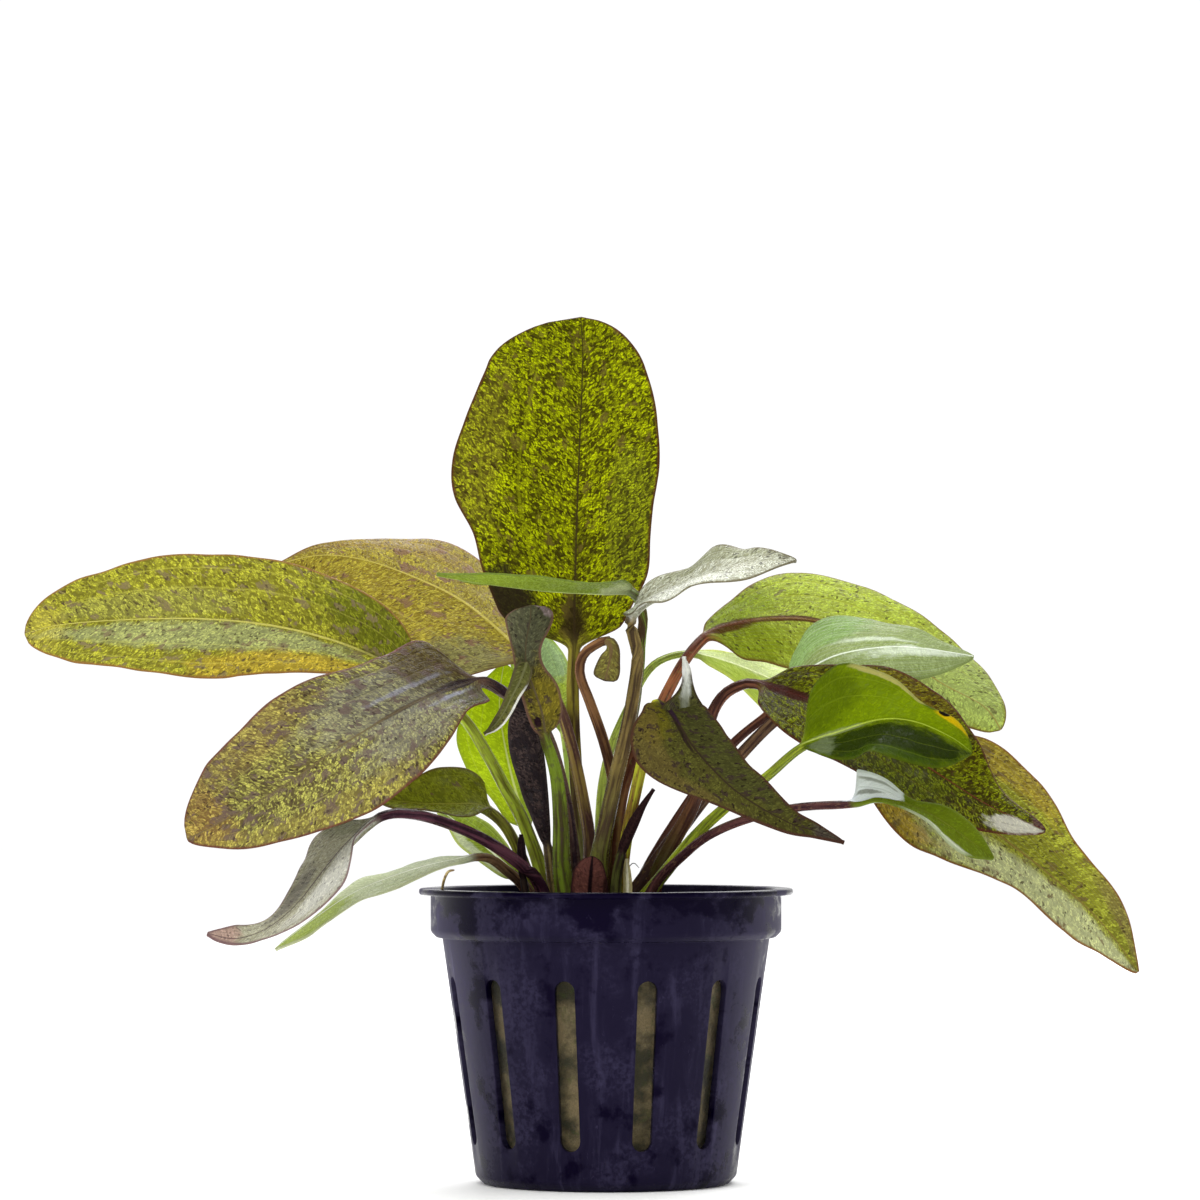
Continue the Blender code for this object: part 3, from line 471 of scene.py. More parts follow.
        ((-11.2, -9.2, 40.4), (-12.2, -9.6, 45.4), (-12.4, -9.6, 48.4), (-12.6, -9.4, 52.2)),
        2, (0.6, 0.5),
        (0.5, 0.75, 0.7, 0.4),
        (0.5, 0.7, 0.6, 0.4),
        ((0, -1, 0),), (5, 5), (0.1, 1.0),
    ),
)

# Loose folds of two leaves that only this finish has, drawn by the same rule
FOLDS = (
    Leaf(
        "twisted_flap", "russet_leaf",
        ((-11.7, -16.1, 77.6), (-12.6, -16.6, 75), (-13.8, -17, 72.6), (-14.9, -17.2, 70.3),
         (-16.4, -17.1, 68.2), (-17.9, -16.9, 67)),
        1, (0.25, 0.2),
        (1.3, 1.4, 1.2, 1.1, 1, 0.4),
        (1.6, 1.5, 1.1, 0.9, 0.8, 0.3),
        ((0.35, -1, 0.1), (0.1, -1, 0.1), (-0.3, -1, 0.1)), (12, 4), (0.15, 1.5),
    ),
    Leaf(
        "upright_lobe", "speckled_leaf",
        ((12, -27.4, 68.9), (11.9, -27, 71.6), (11.7, -26.2, 74.4), (11.3, -25.2, 78.2)),
        1, (0.25, 0.2),
        (4.6, 4.2, 2, 0.8, 0.5, 0.3),
        (3.6, 2.3, 1.3, 0.9, 0.8, 0.3),
        ((0.2, -1, 0.2),), (10, 10), (0.1, 1.0),
    ),
)


def paint(red, green, blue):
    """A linear colour from the 0 to 255 values that a screen shows."""
    return tuple(
        c / 12.92 if c <= 0.04045 else ((c + 0.055) / 1.055) ** 2.4
        for c in (red / 255, green / 255, blue / 255)
    )


class Patch(NamedTuple):
    """A tinted area of a leaf: its middle and reach across (-1 to 1) and along (0 to 1) the blade.

    strength is how much it tints the cells, and solid how much of it lies over them evenly. ragged and
    softness shape its edge.
    """

    across: float
    along: float
    reach_across: float
    reach_along: float
    colour: tuple
    strength: float = 0.8
    solid: float = 0.0
    ragged: float = 0.9
    softness: float = 0.45


class Look(NamedTuple):
    """How one leaf is coloured. foot is the stalk's colour near the crown; light makes all colours lighter.

    bright and deep are the lightest and the darkest cells. blotches says how much of them is stained, flecks
    how much the cells differ, bloom how pale the fine veins are, gloss how rough and shine how shiny the
    skin is, and through how much light passes.
    """

    bright: tuple
    deep: tuple
    blotch: tuple = (90, 68, 50)
    rim: tuple = (96, 62, 42)
    rib: tuple = (128, 124, 50)
    stalk: tuple = (120, 112, 50)
    stalk_dark: tuple = (62, 46, 30)
    foot: tuple = ()
    light: float = 1.0
    blotches: float = 0.12
    blotch_size: float = 1.5
    flecks: float = 1.0
    bloom: float = 0.0
    gloss: float = 0.38
    shine: float = 0.04
    through: float = 0.35
    patches: tuple = ()


LOOKS = {
    "leaf_top": Look(
        (190, 200, 12), (66, 62, 6), blotch=(88, 76, 30), rim=(84, 46, 30), rib=(50, 40, 18),
        stalk=(120, 112, 40), stalk_dark=(56, 42, 26), foot=(86, 88, 52), blotches=0.18, blotch_size=1.6,
        through=0.45,
        patches=(
            # painted shade at the base of the blade
            Patch(0.0, 0.0, 0.26, 0.2, (44, 34, 18), 0.85, 0.7),
            # painted shadow on the lower left of the blade, near its base
            Patch(-0.85, 0.14, 0.42, 0.12, (48, 40, 24), 0.9, 0.75),
            Patch(-0.85, 0.6, 0.3, 0.3, (160, 142, 66), 0.25),
            Patch(0.7, 0.4, 0.4, 0.3, (96, 100, 44), 0.3),
            Patch(0.0, 0.02, 0.5, 0.18, (92, 78, 22), 0.5),
        ),
    ),
    "leaf_edge_on": Look(
        (172, 192, 56), (100, 122, 20), rim=(110, 128, 50), rib=(196, 210, 130), stalk=(112, 140, 50),
        foot=(98, 90, 46), blotches=0.0, flecks=0.5, bloom=0.1, gloss=0.3,
        patches=(Patch(0.0, 0.08, 1.6, 0.2, (206, 214, 176), 0.7, 0.25, 1.2),),
    ),
    "leaf_silver": Look(
        (228, 232, 216), (128, 126, 100), blotch=(66, 58, 34), rim=(96, 88, 62), rib=(196, 198, 178),
        stalk=(122, 104, 60), stalk_dark=(62, 48, 34), foot=(98, 102, 44), blotches=0.12, flecks=0.75,
        bloom=0.5, gloss=0.3,
        through=0.2,
        patches=(
            Patch(0.7, 0.3, 0.4, 0.6, (228, 230, 222), 0.7),
            Patch(-0.7, 0.55, 0.3, 0.5, (136, 140, 96), 0.55),
            Patch(0.0, -0.12, 2.0, 0.12, (150, 112, 66), 0.6),
        ),
    ),
    "leaf_curled": Look(
        (196, 190, 92), (128, 112, 58), blotch=(92, 60, 36), rim=(78, 52, 38), rib=(110, 78, 52),
        stalk=(128, 92, 60), stalk_dark=(66, 42, 30), blotches=0.25,
    ),
    "leaf_far_left": Look(
        (188, 188, 62), (108, 104, 32), light=1.12, blotch=(104, 90, 66), rim=(132, 94, 50),
        rib=(172, 166, 84), stalk=(150, 168, 52), stalk_dark=(84, 84, 28), blotches=0.2, blotch_size=1.2,
        patches=(
            # painted highlight: pale bluish gloss beside the midrib on the left half
            Patch(-0.3, 0.55, 0.34, 0.55, (164, 172, 128), 0.6),
            Patch(-0.85, 0.3, 0.4, 0.36, (196, 168, 62), 0.6),
            Patch(0.6, 0.1, 0.7, 0.26, (104, 112, 22), 0.75),
            Patch(0.0, 0.0, 0.12, 0.24, (78, 76, 30), 0.8, 0.6),
            Patch(0.25, 0.7, 0.3, 0.3, (160, 160, 96), 0.35),
            Patch(0.0, 0.98, 1.2, 0.1, (196, 184, 84), 0.4),
        ),
    ),
    "leaf_back_left": Look(
        (190, 178, 66), (124, 108, 36), blotch=(108, 78, 62), rim=(120, 68, 50), rib=(176, 164, 78),
        stalk=(128, 108, 58), stalk_dark=(70, 48, 42), blotches=0.2, blotch_size=1.7,
        patches=(
            Patch(-0.7, 0.12, 0.6, 0.22, (122, 124, 92), 0.6),
            Patch(0.4, 0.12, 0.6, 0.2, (176, 160, 34), 0.6),
            Patch(0.7, 0.75, 0.4, 0.35, (150, 116, 80), 0.4),
        ),
    ),
    "leaf_front_left": Look(
        (182, 180, 90), (82, 72, 44), light=1.2, blotch=(80, 64, 60), rim=(92, 50, 42), rib=(92, 80, 50),
        stalk=(78, 58, 48), stalk_dark=(36, 22, 30), blotches=0.26, blotch_size=1.2, shine=0.08,
        patches=(
            # painted sheen: two broad grey patches over the lower half of the blade
            Patch(0.3, 0.36, 0.6, 0.34, (132, 130, 120), 0.6),
            Patch(-0.45, 0.3, 0.5, 0.34, (142, 140, 124), 0.6),
            Patch(0.7, 0.1, 0.8, 0.22, (84, 68, 38), 0.85),
            Patch(-0.75, 0.06, 0.6, 0.16, (74, 70, 36), 0.75),
            Patch(0.0, 0.0, 0.16, 0.26, (38, 24, 30), 0.9, 0.8, 0.5),
            Patch(0.0, 0.28, 0.05, 0.2, (66, 54, 40), 0.8, 0.7, 0.4),
            # painted sheen: two thin lilac streaks near the base
            Patch(-0.26, 0.16, 0.1, 0.12, (160, 162, 184), 0.7, 0.5, 1.8, 0.8),
            Patch(0.3, 0.26, 0.06, 0.22, (150, 150, 166), 0.6, 0.4, 1.6, 0.8),
            Patch(0.0, 0.97, 1.4, 0.12, (158, 120, 62), 0.5),
            Patch(-0.85, 0.75, 0.35, 0.4, (160, 146, 68), 0.4),
            Patch(0.8, 0.75, 0.4, 0.3, (148, 124, 70), 0.4),
        ),
    ),
    "leaf_twisted": Look(
        (150, 138, 54), (80, 72, 34), blotch=(58, 42, 46), rim=(120, 88, 76), rib=(88, 76, 54),
        stalk=(98, 116, 34), stalk_dark=(58, 52, 26), blotches=0.18, gloss=0.3,
        patches=(
            Patch(0.0, 0.85, 1.6, 0.42, (106, 108, 86), 0.85),
            Patch(-0.3, 0.52, 0.7, 0.14, (84, 84, 50), 0.6),
            Patch(0.4, 0.28, 0.8, 0.22, (150, 136, 40), 0.7),
            Patch(-0.45, 0.13, 0.3, 0.05, (40, 20, 32), 0.9, 0.85),
            Patch(0.85, 0.97, 0.4, 0.07, (176, 156, 160), 0.8, 0.5),
        ),
    ),
    "twisted_flap": Look(
        (132, 132, 70), (78, 80, 42), blotch=(66, 52, 48), rim=(96, 88, 62), rib=(108, 108, 70),
        blotches=0.1, flecks=0.7,
        patches=(
            # painted highlight: a near-white strip along the left margin
            Patch(-0.95, 0.62, 0.28, 0.45, (244, 244, 240), 1.0, 0.95),
            Patch(0.6, 0.85, 0.6, 0.2, (84, 84, 50), 0.6),
        ),
    ),
    "upright_lobe": Look(
        (102, 102, 48), (56, 54, 26), light=0.85, blotch=(46, 34, 34), rim=(66, 52, 38), rib=(96, 96, 60),
        blotches=0.2, flecks=0.6, bloom=0.2,
        patches=(
            # painted reflection: white at the top of the lobe, fading to grey towards its middle
            Patch(-0.1, 0.92, 1.7, 0.46, (238, 240, 238), 1.0, 0.9, 1.0, 0.6),
            Patch(-0.1, 0.56, 0.7, 0.3, (206, 210, 202), 0.9, 0.8, 0.8, 0.6),
            Patch(-0.15, 0.32, 0.3, 0.34, (140, 144, 124), 0.9, 0.6, 1.0, 0.9),
            Patch(-0.5, 0.05, 0.3, 0.12, (46, 34, 44), 0.9, 0.6),
        ),
    ),
    "leaf_dark": Look(
        (86, 70, 66), (16, 6, 14), blotch=(22, 12, 20), rim=(54, 42, 42), rib=(36, 24, 28),
        stalk=(122, 106, 62), stalk_dark=(70, 54, 34), blotches=0.3, flecks=0.8, gloss=0.4, shine=0.2,
        through=0.05,
    ),
    "leaf_lime": Look(
        (216, 232, 58), (152, 172, 30), light=0.87, rim=(170, 186, 60), rib=(216, 224, 150),
        stalk=(196, 208, 156), stalk_dark=(150, 160, 108), blotches=0.0, flecks=0.6, gloss=0.32,
        through=0.55,
        patches=(Patch(0.6, 0.2, 0.6, 0.3, (150, 172, 90), 0.5),),
    ),
    "leaf_back_middle": Look(
        (190, 208, 76), (104, 120, 20), rim=(140, 160, 60), rib=(196, 208, 130), stalk=(170, 185, 100),
        stalk_dark=(120, 140, 60), blotches=0.0, flecks=0.6, through=0.45,
        patches=(
            Patch(0.4, 0.75, 1.0, 0.3, (164, 190, 160), 0.7),
            Patch(-0.6, 0.3, 0.8, 0.3, (196, 210, 160), 0.6),
        ),
    ),
    "leaf_low_green": Look(
        (146, 154, 38), (84, 86, 16), light=1.15, rim=(84, 72, 26), rib=(140, 138, 50), stalk=(124, 128, 46),
        stalk_dark=(66, 60, 24), blotches=0.06, flecks=0.7, gloss=0.3, through=0.35,
    ),
    "leaf_striped": Look(
        (176, 196, 56), (108, 126, 22), light=1.1, rim=(170, 182, 100), rib=(220, 226, 196),
        stalk=(130, 138, 70), stalk_dark=(70, 66, 40), blotches=0.0, flecks=0.5, bloom=0.5, through=0.45,
        patches=(Patch(-0.7, 0.4, 0.4, 0.6, (216, 222, 204), 0.75),),
    ),
    "leaf_drooping": Look(
        (190, 188, 164), (112, 108, 84), blotch=(66, 48, 56), rim=(110, 84, 86), rib=(58, 36, 48),
        stalk=(78, 46, 56), stalk_dark=(34, 16, 26), blotches=0.07, flecks=0.5, bloom=0.5, gloss=0.26,
        through=0.2,
        patches=(
            Patch(-0.6, 0.35, 0.5, 0.4, (206, 206, 200), 0.6),
            Patch(0.5, 0.55, 0.4, 0.25, (104, 98, 96), 0.6),
            Patch(0.0, 0.95, 1.5, 0.12, (186, 146, 138), 0.65),
            Patch(0.4, 0.05, 1.0, 0.14, (96, 100, 62), 0.6),
        ),
    ),
    "leaf_pale_low": Look(
        (212, 218, 196), (158, 168, 128), light=1.15, rim=(176, 180, 150), rib=(226, 230, 216),
        stalk=(112, 88, 62), stalk_dark=(54, 34, 28), blotches=0.0, flecks=0.4, bloom=0.8, gloss=0.28,
        through=0.3,
        patches=(
            Patch(-0.2, 0.85, 1.3, 0.24, (158, 176, 44), 0.8),
            Patch(0.6, 0.2, 0.5, 0.2, (190, 200, 170), 0.5),
        ),
    ),
    "leaf_front_right": Look(
        (100, 100, 44), (60, 56, 26), light=0.82, blotch=(50, 36, 38), rim=(74, 46, 38), rib=(48, 36, 30),
        stalk=(168, 172, 50), stalk_dark=(112, 84, 40), blotches=0.24, blotch_size=1.1,
        flecks=0.75, through=0.22, shine=0.0,
        patches=(
            Patch(0.0, 0.02, 0.14, 0.24, (48, 32, 46), 0.9, 0.85, 0.4, 0.3),
            Patch(0.06, 0.24, 0.05, 0.22, (44, 34, 26), 0.8, 0.7, 0.5),
            Patch(0.6, 0.16, 0.5, 0.24, (116, 108, 28), 0.7),
            Patch(-0.5, 0.4, 0.6, 0.5, (68, 72, 40), 0.5),
            Patch(0.8, 0.35, 0.4, 0.4, (118, 100, 56), 0.5),
            Patch(0.0, 0.97, 1.3, 0.1, (92, 84, 78), 0.7),
        ),
    ),
    "leaf_upper_right": Look(
        (196, 212, 88), (122, 128, 42), light=1.1, blotch=(88, 80, 44), rim=(108, 78, 44),
        rib=(140, 120, 60), stalk=(122, 74, 46), stalk_dark=(62, 32, 22), foot=(90, 72, 38),
        blotches=0.09, blotch_size=1.2, flecks=0.7, bloom=0.15, through=0.45,
        patches=(
            Patch(0.0, 0.02, 0.26, 0.2, (76, 36, 18), 0.9, 0.9, 0.6, 0.3),
            Patch(0.0, 0.22, 0.08, 0.28, (84, 44, 24), 0.8, 0.8, 0.5, 0.3),
            Patch(-0.5, 0.12, 0.7, 0.2, (140, 160, 18), 0.6),
            Patch(0.5, 0.12, 0.7, 0.2, (140, 156, 14), 0.7),
            Patch(0.0, 0.85, 1.3, 0.26, (164, 178, 120), 0.6),
        ),
    ),
    "leaf_pale_right": Look(
        (178, 194, 136), (116, 130, 66), light=0.95, rim=(130, 144, 86), rib=(222, 230, 212),
        stalk=(120, 78, 58), stalk_dark=(72, 42, 36), foot=(60, 42, 40), blotches=0.0, flecks=0.5,
        bloom=0.9, gloss=0.3, through=0.4,
        patches=(
            Patch(0.1, 0.72, 0.24, 0.42, (230, 238, 228), 0.8, 0.45, 1.4, 0.9),
            Patch(-0.28, 0.5, 0.08, 0.3, (226, 234, 222), 0.7, 0.4, 0.9, 0.8),
            Patch(-0.7, 0.2, 0.5, 0.3, (140, 184, 100), 0.5),
        ),
    ),
    "leaf_middle_right": Look(
        (136, 146, 10), (54, 46, 4), blotch=(54, 36, 16), rim=(80, 38, 28), rib=(96, 38, 30),
        stalk=(110, 70, 52), stalk_dark=(50, 28, 24), foot=(58, 52, 24), blotches=0.12, blotch_size=1.2,
        gloss=0.3, through=0.3,
        patches=(
            Patch(0.0, 0.03, 0.24, 0.2, (66, 28, 18), 0.9, 0.9, 0.5, 0.3),
            Patch(0.3, 0.5, 0.8, 0.3, (76, 90, 12), 0.35),
            Patch(-0.85, 0.42, 0.3, 0.2, (110, 84, 24), 0.5),
            Patch(0.5, 0.92, 0.6, 0.1, (192, 190, 176), 0.9, 0.6, 1.5, 0.4),
            Patch(-0.4, 0.98, 0.8, 0.03, (84, 40, 60), 0.8),
        ),
    ),
    "leaf_bright_right": Look(
        (172, 194, 16), (112, 134, 6), light=0.8, rim=(96, 112, 22), rib=(166, 184, 60),
        stalk=(140, 154, 42), stalk_dark=(84, 96, 26), blotches=0.0, flecks=0.4, gloss=0.3, through=0.6,
        patches=(
            Patch(0.55, 0.5, 0.62, 0.7, (52, 70, 8), 0.95),
            Patch(0.9, 0.62, 0.22, 0.4, (92, 120, 14), 0.6),
            Patch(0.55, 0.16, 0.5, 0.12, (150, 164, 122), 0.7, 0.3, 1.2),
            Patch(-0.6, 0.14, 0.6, 0.3, (92, 112, 12), 0.55),
            Patch(-0.9, 0.84, 0.26, 0.12, (232, 206, 22), 0.9, 0.7, 0.6, 0.3),
            Patch(-0.96, 0.52, 0.1, 0.2, (206, 200, 130), 0.9, 0.6, 0.8, 0.3),
            Patch(-0.97, 0.78, 0.16, 0.03, (22, 14, 10), 1.0, 1.0, 0.6, 0.2),
            Patch(0.03, 0.2, 0.1, 0.26, (196, 206, 160), 0.5, 0.3),
        ),
    ),
    "leaf_small_right": Look(
        (112, 132, 22), (78, 88, 12), light=1.2, rim=(96, 110, 30), rib=(96, 104, 30), stalk=(72, 44, 42),
        stalk_dark=(38, 20, 24), blotches=0.03, flecks=0.5, gloss=0.28, through=0.4,
        patches=(
            # painted reflection: bluish white over the left half near the base
            Patch(-0.55, 0.14, 0.9, 0.24, (190, 196, 200), 1.0, 0.85, 0.8, 0.2),
            Patch(-0.3, 0.12, 0.1, 0.12, (74, 76, 52), 0.9, 0.7, 1.8, 0.6),
            Patch(-0.75, 0.18, 0.08, 0.14, (104, 108, 90), 0.9, 0.6, 1.8, 0.6),
            # painted reflection along the right margin
            Patch(0.9, 0.6, 0.2, 0.3, (206, 210, 200), 0.7, 0.4, 0.9),
        ),
    ),
    "leaf_low_right": Look(
        (182, 188, 66), (104, 102, 28), light=1.1, blotch=(90, 72, 40), rim=(118, 74, 38), rib=(120, 96, 52),
        stalk=(106, 82, 60), stalk_dark=(54, 36, 30), foot=(50, 34, 30), blotches=0.14, blotch_size=1.3,
        flecks=0.85, bloom=0.2,
        patches=(
            # painted sheen: pale grey-silver towards the tip on the right half
            Patch(0.6, 0.72, 0.6, 0.5, (196, 200, 160), 0.75),
            Patch(0.85, 0.2, 0.3, 0.25, (190, 150, 50), 0.55),
            Patch(-0.85, 0.35, 0.3, 0.3, (160, 124, 48), 0.5),
            Patch(-0.2, 0.6, 0.5, 0.3, (128, 128, 34), 0.5),
            Patch(-0.8, 0.9, 0.4, 0.2, (128, 106, 72), 0.5),
        ),
    ),
    "leaf_back_right": Look(
        (198, 210, 120), (160, 178, 78), rim=(200, 208, 120), rib=(222, 228, 180), stalk=(150, 166, 70),
        stalk_dark=(104, 116, 48), blotches=0.0, flecks=0.4, gloss=0.3, through=0.5,
        patches=(Patch(-0.5, 0.3, 0.7, 0.4, (226, 234, 206), 0.7),),
    ),
    "sheath_brown": Look(
        (118, 74, 64), (60, 32, 30), blotch=(34, 14, 18), rim=(40, 18, 20), rib=(20, 6, 10),
        stalk=(110, 66, 56), stalk_dark=(50, 24, 24), blotches=0.06, blotch_size=0.7, flecks=0.35, gloss=0.6,
        through=0.05,
        patches=(
            Patch(0.0, 0.5, 0.12, 1.0, (20, 6, 10), 0.9, 0.85, 0.3, 0.6),
            Patch(0.9, 0.25, 0.3, 0.5, (40, 20, 18), 0.8, 0.5),
            Patch(-0.9, 0.15, 0.3, 0.3, (40, 20, 18), 0.8, 0.5),
        ),
    ),
    "sheath_pale": Look(
        (252, 248, 222), (184, 182, 132), rim=(214, 204, 164), rib=(240, 236, 210), stalk=(190, 192, 130),
        stalk_dark=(120, 120, 70), blotches=0.0, flecks=0.5, gloss=0.45, through=0.4,
    ),
    "bract_spike": Look(
        (58, 40, 34), (26, 12, 16), blotch=(20, 8, 12), rim=(34, 18, 20), rib=(44, 26, 26),
        stalk=(64, 66, 30), stalk_dark=(32, 24, 18), blotches=0.1, gloss=0.45, through=0.03,
    ),
    "bract_stub": Look(
        (48, 34, 34), (20, 8, 16), blotch=(16, 6, 12), rim=(30, 16, 22), rib=(40, 24, 28),
        stalk=(52, 40, 34), stalk_dark=(24, 14, 18), blotches=0.1, gloss=0.5, through=0.03,
    ),
}


class LeafSettings(bpy.types.PropertyGroup):
    """Sizes of a leaf's fine form."""

    thickness: bpy.props.FloatProperty(
        name="Blade thickness", description="Thickness of a blade beside its midrib",
        default=0.42 * MM, min=0.1 * MM, max=1.0 * MM, subtype="DISTANCE", unit="LENGTH", precision=5,
    )
    station_gap: bpy.props.FloatProperty(
        name="Station gap", description="Distance between cross sections along a blade",
        default=0.55 * MM, min=0.3 * MM, max=3.0 * MM, subtype="DISTANCE", unit="LENGTH", precision=5,
    )
    vein_depth: bpy.props.FloatProperty(
        name="Vein depth", description="How deep the long side veins lie in the blade",
        default=0.07 * MM, min=0.0, max=0.5 * MM, subtype="DISTANCE", unit="LENGTH", precision=5,
    )
    pucker: bpy.props.FloatProperty(
        name="Pucker", description="How far the blade swells between its veins",
        default=0.22 * MM, min=0.0, max=1.0 * MM, subtype="DISTANCE", unit="LENGTH", precision=5,
    )
    ruffle: bpy.props.FloatProperty(
        name="Ruffle", description="How far the margins waver beyond each leaf's own wave",
        default=0.45 * MM, min=0.0, max=2.0 * MM, subtype="DISTANCE", unit="LENGTH", precision=5,
    )
    tone: bpy.props.FloatProperty(
        name="Tone", description="Brightness of all leaf colours",
        default=1.2, min=0.2, max=2.0, subtype="FACTOR",
    )


class PotSettings(bpy.types.PropertyGroup):
    """Sizes and colours of the pot and what fills it."""

    plastic: bpy.props.FloatVectorProperty(
        name="Plastic", description="Colour of the pot's plastic",
        default=paint(4, 1, 20), size=3, min=0.0, max=1.0, subtype="COLOR",
    )
    # this colour also paints the sheen at the pot's sides
    plastic_dust_and_sheen: bpy.props.FloatVectorProperty(
        name="Dust", description="Colour of the dust and lime on the pot",
        default=paint(100, 94, 128), size=3, min=0.0, max=1.0, subtype="COLOR",
    )
    wool: bpy.props.FloatVectorProperty(
        name="Wool", description="Colour of the mineral wool",
        default=paint(150, 132, 92), size=3, min=0.0, max=1.0, subtype="COLOR",
    )
    wool_stain: bpy.props.FloatVectorProperty(
        name="Wool stain", description="Colour of the algae and peat in the wool",
        default=paint(62, 58, 30), size=3, min=0.0, max=1.0, subtype="COLOR",
    )
    strand_count: bpy.props.IntProperty(
        name="Strands", description="Number of loose wool strands on top of the plug",
        default=420, min=0, max=2000,
    )


class StageSettings(bpy.types.PropertyGroup):
    """The floor, the light and the camera."""

    floor: bpy.props.FloatVectorProperty(
        name="Floor", description="Colour of the floor",
        default=(0.97, 0.97, 0.97), size=3, min=0.0, max=1.0, subtype="COLOR",
    )
    sky: bpy.props.FloatProperty(
        name="Sky", description="Strength of the even white light from all round",
        default=1.05, min=0.0, max=5.0,
    )
    key: bpy.props.FloatProperty(
        name="Key light", description="Power of the soft light from the upper left",
        default=5.0, min=0.0, max=100.0, subtype="POWER", unit="POWER",
    )
    back: bpy.props.FloatProperty(
        name="Back light", description="Power of the soft light from behind and above",
        default=8.0, min=0.0, max=100.0, subtype="POWER", unit="POWER",
    )
    lens: bpy.props.FloatProperty(
        name="Lens", description="Focal length of the camera",
        default=160.0, min=20.0, max=400.0, subtype="DISTANCE_CAMERA", unit="CAMERA",
    )


def spline_point(a, b, c, d, u):
    """The Catmull-Rom curve from b to c at u."""
    return 0.5 * (
        2.0 * b
        + (c - a) * u
        + (2.0 * a - 5.0 * b + 4.0 * c - d) * u ** 2
        + (3.0 * b - a - 3.0 * c + d) * u ** 3
    )


def along(values, share):
    """Rows of a smooth curve through evenly spaced values, at shares from 0 to 1."""
    values = np.array(values, float).reshape(len(values), -1)
    last = len(values) - 1
    place = np.clip(share, 0.0, 1.0) * last
    span = np.minimum(place.astype(int), max(last - 1, 0))
    u = (place - span)[:, None]
    before = values[np.maximum(span - 1, 0)]
    after = values[np.minimum(span + 2, last)]
    return spline_point(before, values[span], values[np.minimum(span + 1, last)], after, u)


class Midrib:
    """A smooth curve through a leaf's points, read by the distance along it."""

    def __init__(self, points):
        knots = np.array(points, float) * MM
        padded = np.vstack([knots[:1], knots, knots[-1:]])
        u = (np.arange(SAMPLES_PER_SPAN) / SAMPLES_PER_SPAN)[:, None]
        spans = [spline_point(*padded[i:i + 4], u) for i in range(len(knots) - 1)]
        self.samples = np.vstack(spans + [knots[-1:]])
        steps = np.linalg.norm(np.diff(self.samples, axis=0), axis=1)
        self.places = np.concatenate([[0.0], np.cumsum(steps)])
        self.knot_places = self.places[::SAMPLES_PER_SPAN]

    def point(self, place):
        return np.stack([np.interp(place, self.places, self.samples[:, k]) for k in range(3)], axis=1)

    def direction(self, place):
        return unit(self.point(place + DIRECTION_REACH) - self.point(place - DIRECTION_REACH))


def unit(rows):
    """Each row as a direction of length one."""
    return rows / np.maximum(np.linalg.norm(rows, axis=-1, keepdims=True), 1e-12)


def smooth(low, high, value):
    """0 below low, 1 above high, and smooth between them."""
    t = np.clip((value - low) / (high - low), 0.0, 1.0)
    return t * t * (3.0 - 2.0 * t)


def ripple(x, y, seed):
    """Smooth noise from -1 to 1 over a plane, with bumps about one unit apart."""
    size = RIPPLE_SIZE
    table = np.random.default_rng(seed).uniform(-1.0, 1.0, (size, size))
    x, y = np.broadcast_arrays(np.asarray(x, float), np.asarray(y, float))
    column, row = np.floor(x).astype(int), np.floor(y).astype(int)
    u, v = x - column, y - row
    u, v = u * u * (3 - 2 * u), v * v * (3 - 2 * v)

    def at(i, j):
        return table[(row + j) % size, (column + i) % size]

    return (at(0, 0) * (1 - u) + at(1, 0) * u) * (1 - v) + (at(0, 1) * (1 - u) + at(1, 1) * u) * v


def end_rounding(share):
    """1 along the blade, falling to 0 in a quarter ellipse at its base and tip."""
    base = np.clip(1.0 - share / BASE_ROUNDING, 0.0, 1.0)
    tip = np.clip(1.0 - (1.0 - share) / TIP_ROUNDING, 0.0, 1.0)
    return np.sqrt(1.0 - base ** 2) * np.sqrt(1.0 - tip ** 2)


def blade_shares(length, gap):
    """Shares along a blade, closer together towards its base and tip."""
    even = np.linspace(0.0, 1.0, max(LEAST_STATIONS, round(length / gap)) + 1)
    return (1.0 - END_CROWDING) * even + END_CROWDING * (0.5 - 0.5 * np.cos(np.pi * even))


def ring_columns():
    """Where each point of a ring lies: its place across (-1 to 1), and whether it is on the upper face."""
    half = np.array(HALF_COLUMNS)
    upper = np.concatenate([-half[::-1], half[1:]])
    lower = upper[-2:0:-1]
    is_upper = np.concatenate([np.ones(len(upper), bool), np.zeros(len(lower), bool)])
    return np.concatenate([upper, lower]), is_upper


def half_widths(leaf, share, length, side, seed):
    """The half width at each station on the side that each column lies on, wandering a little."""
    halves = {}
    for number, widths in ((-1, leaf.left), (1, leaf.right)):
        place = length * share / WANDER_LENGTH + NOISE_APART * number
        wander = 1.0 + OUTLINE_WANDER * ripple(place, seed * 1.7, seed)
        width = along(widths, share)[:, 0] * MM * end_rounding(share) * wander
        halves[number] = np.maximum(width, TIP_HALF_WIDTH)[:, None]
    return np.where(side < 0, halves[-1], halves[1])


def stalk_rings(leaf, centre, right, up, turn, place, climb, seed):
    """The stalk as rings of points: round, faintly ribbed and flared at its foot."""
    thick = (leaf.round[0] + (leaf.round[1] - leaf.round[0]) * climb) * MM
    grain = ripple(turn * 2.2, place[:, None] / GRAIN_LENGTH, seed + 5)
    ribs = 1.0 + STALK_RIBBING * np.cos(STALK_RIBS * turn + seed) + STALK_GRAIN * grain
    flare = 1.0 + FOOT_FLARE * np.exp(-place[:, None] / FLARE_LENGTH)
    offset = (
        right * (-np.cos(turn) * np.ones_like(thick))[..., None]
        + up * (np.sin(turn) * np.ones_like(thick))[..., None]
    )
    return centre + offset * (thick * ribs * flare)[..., None]


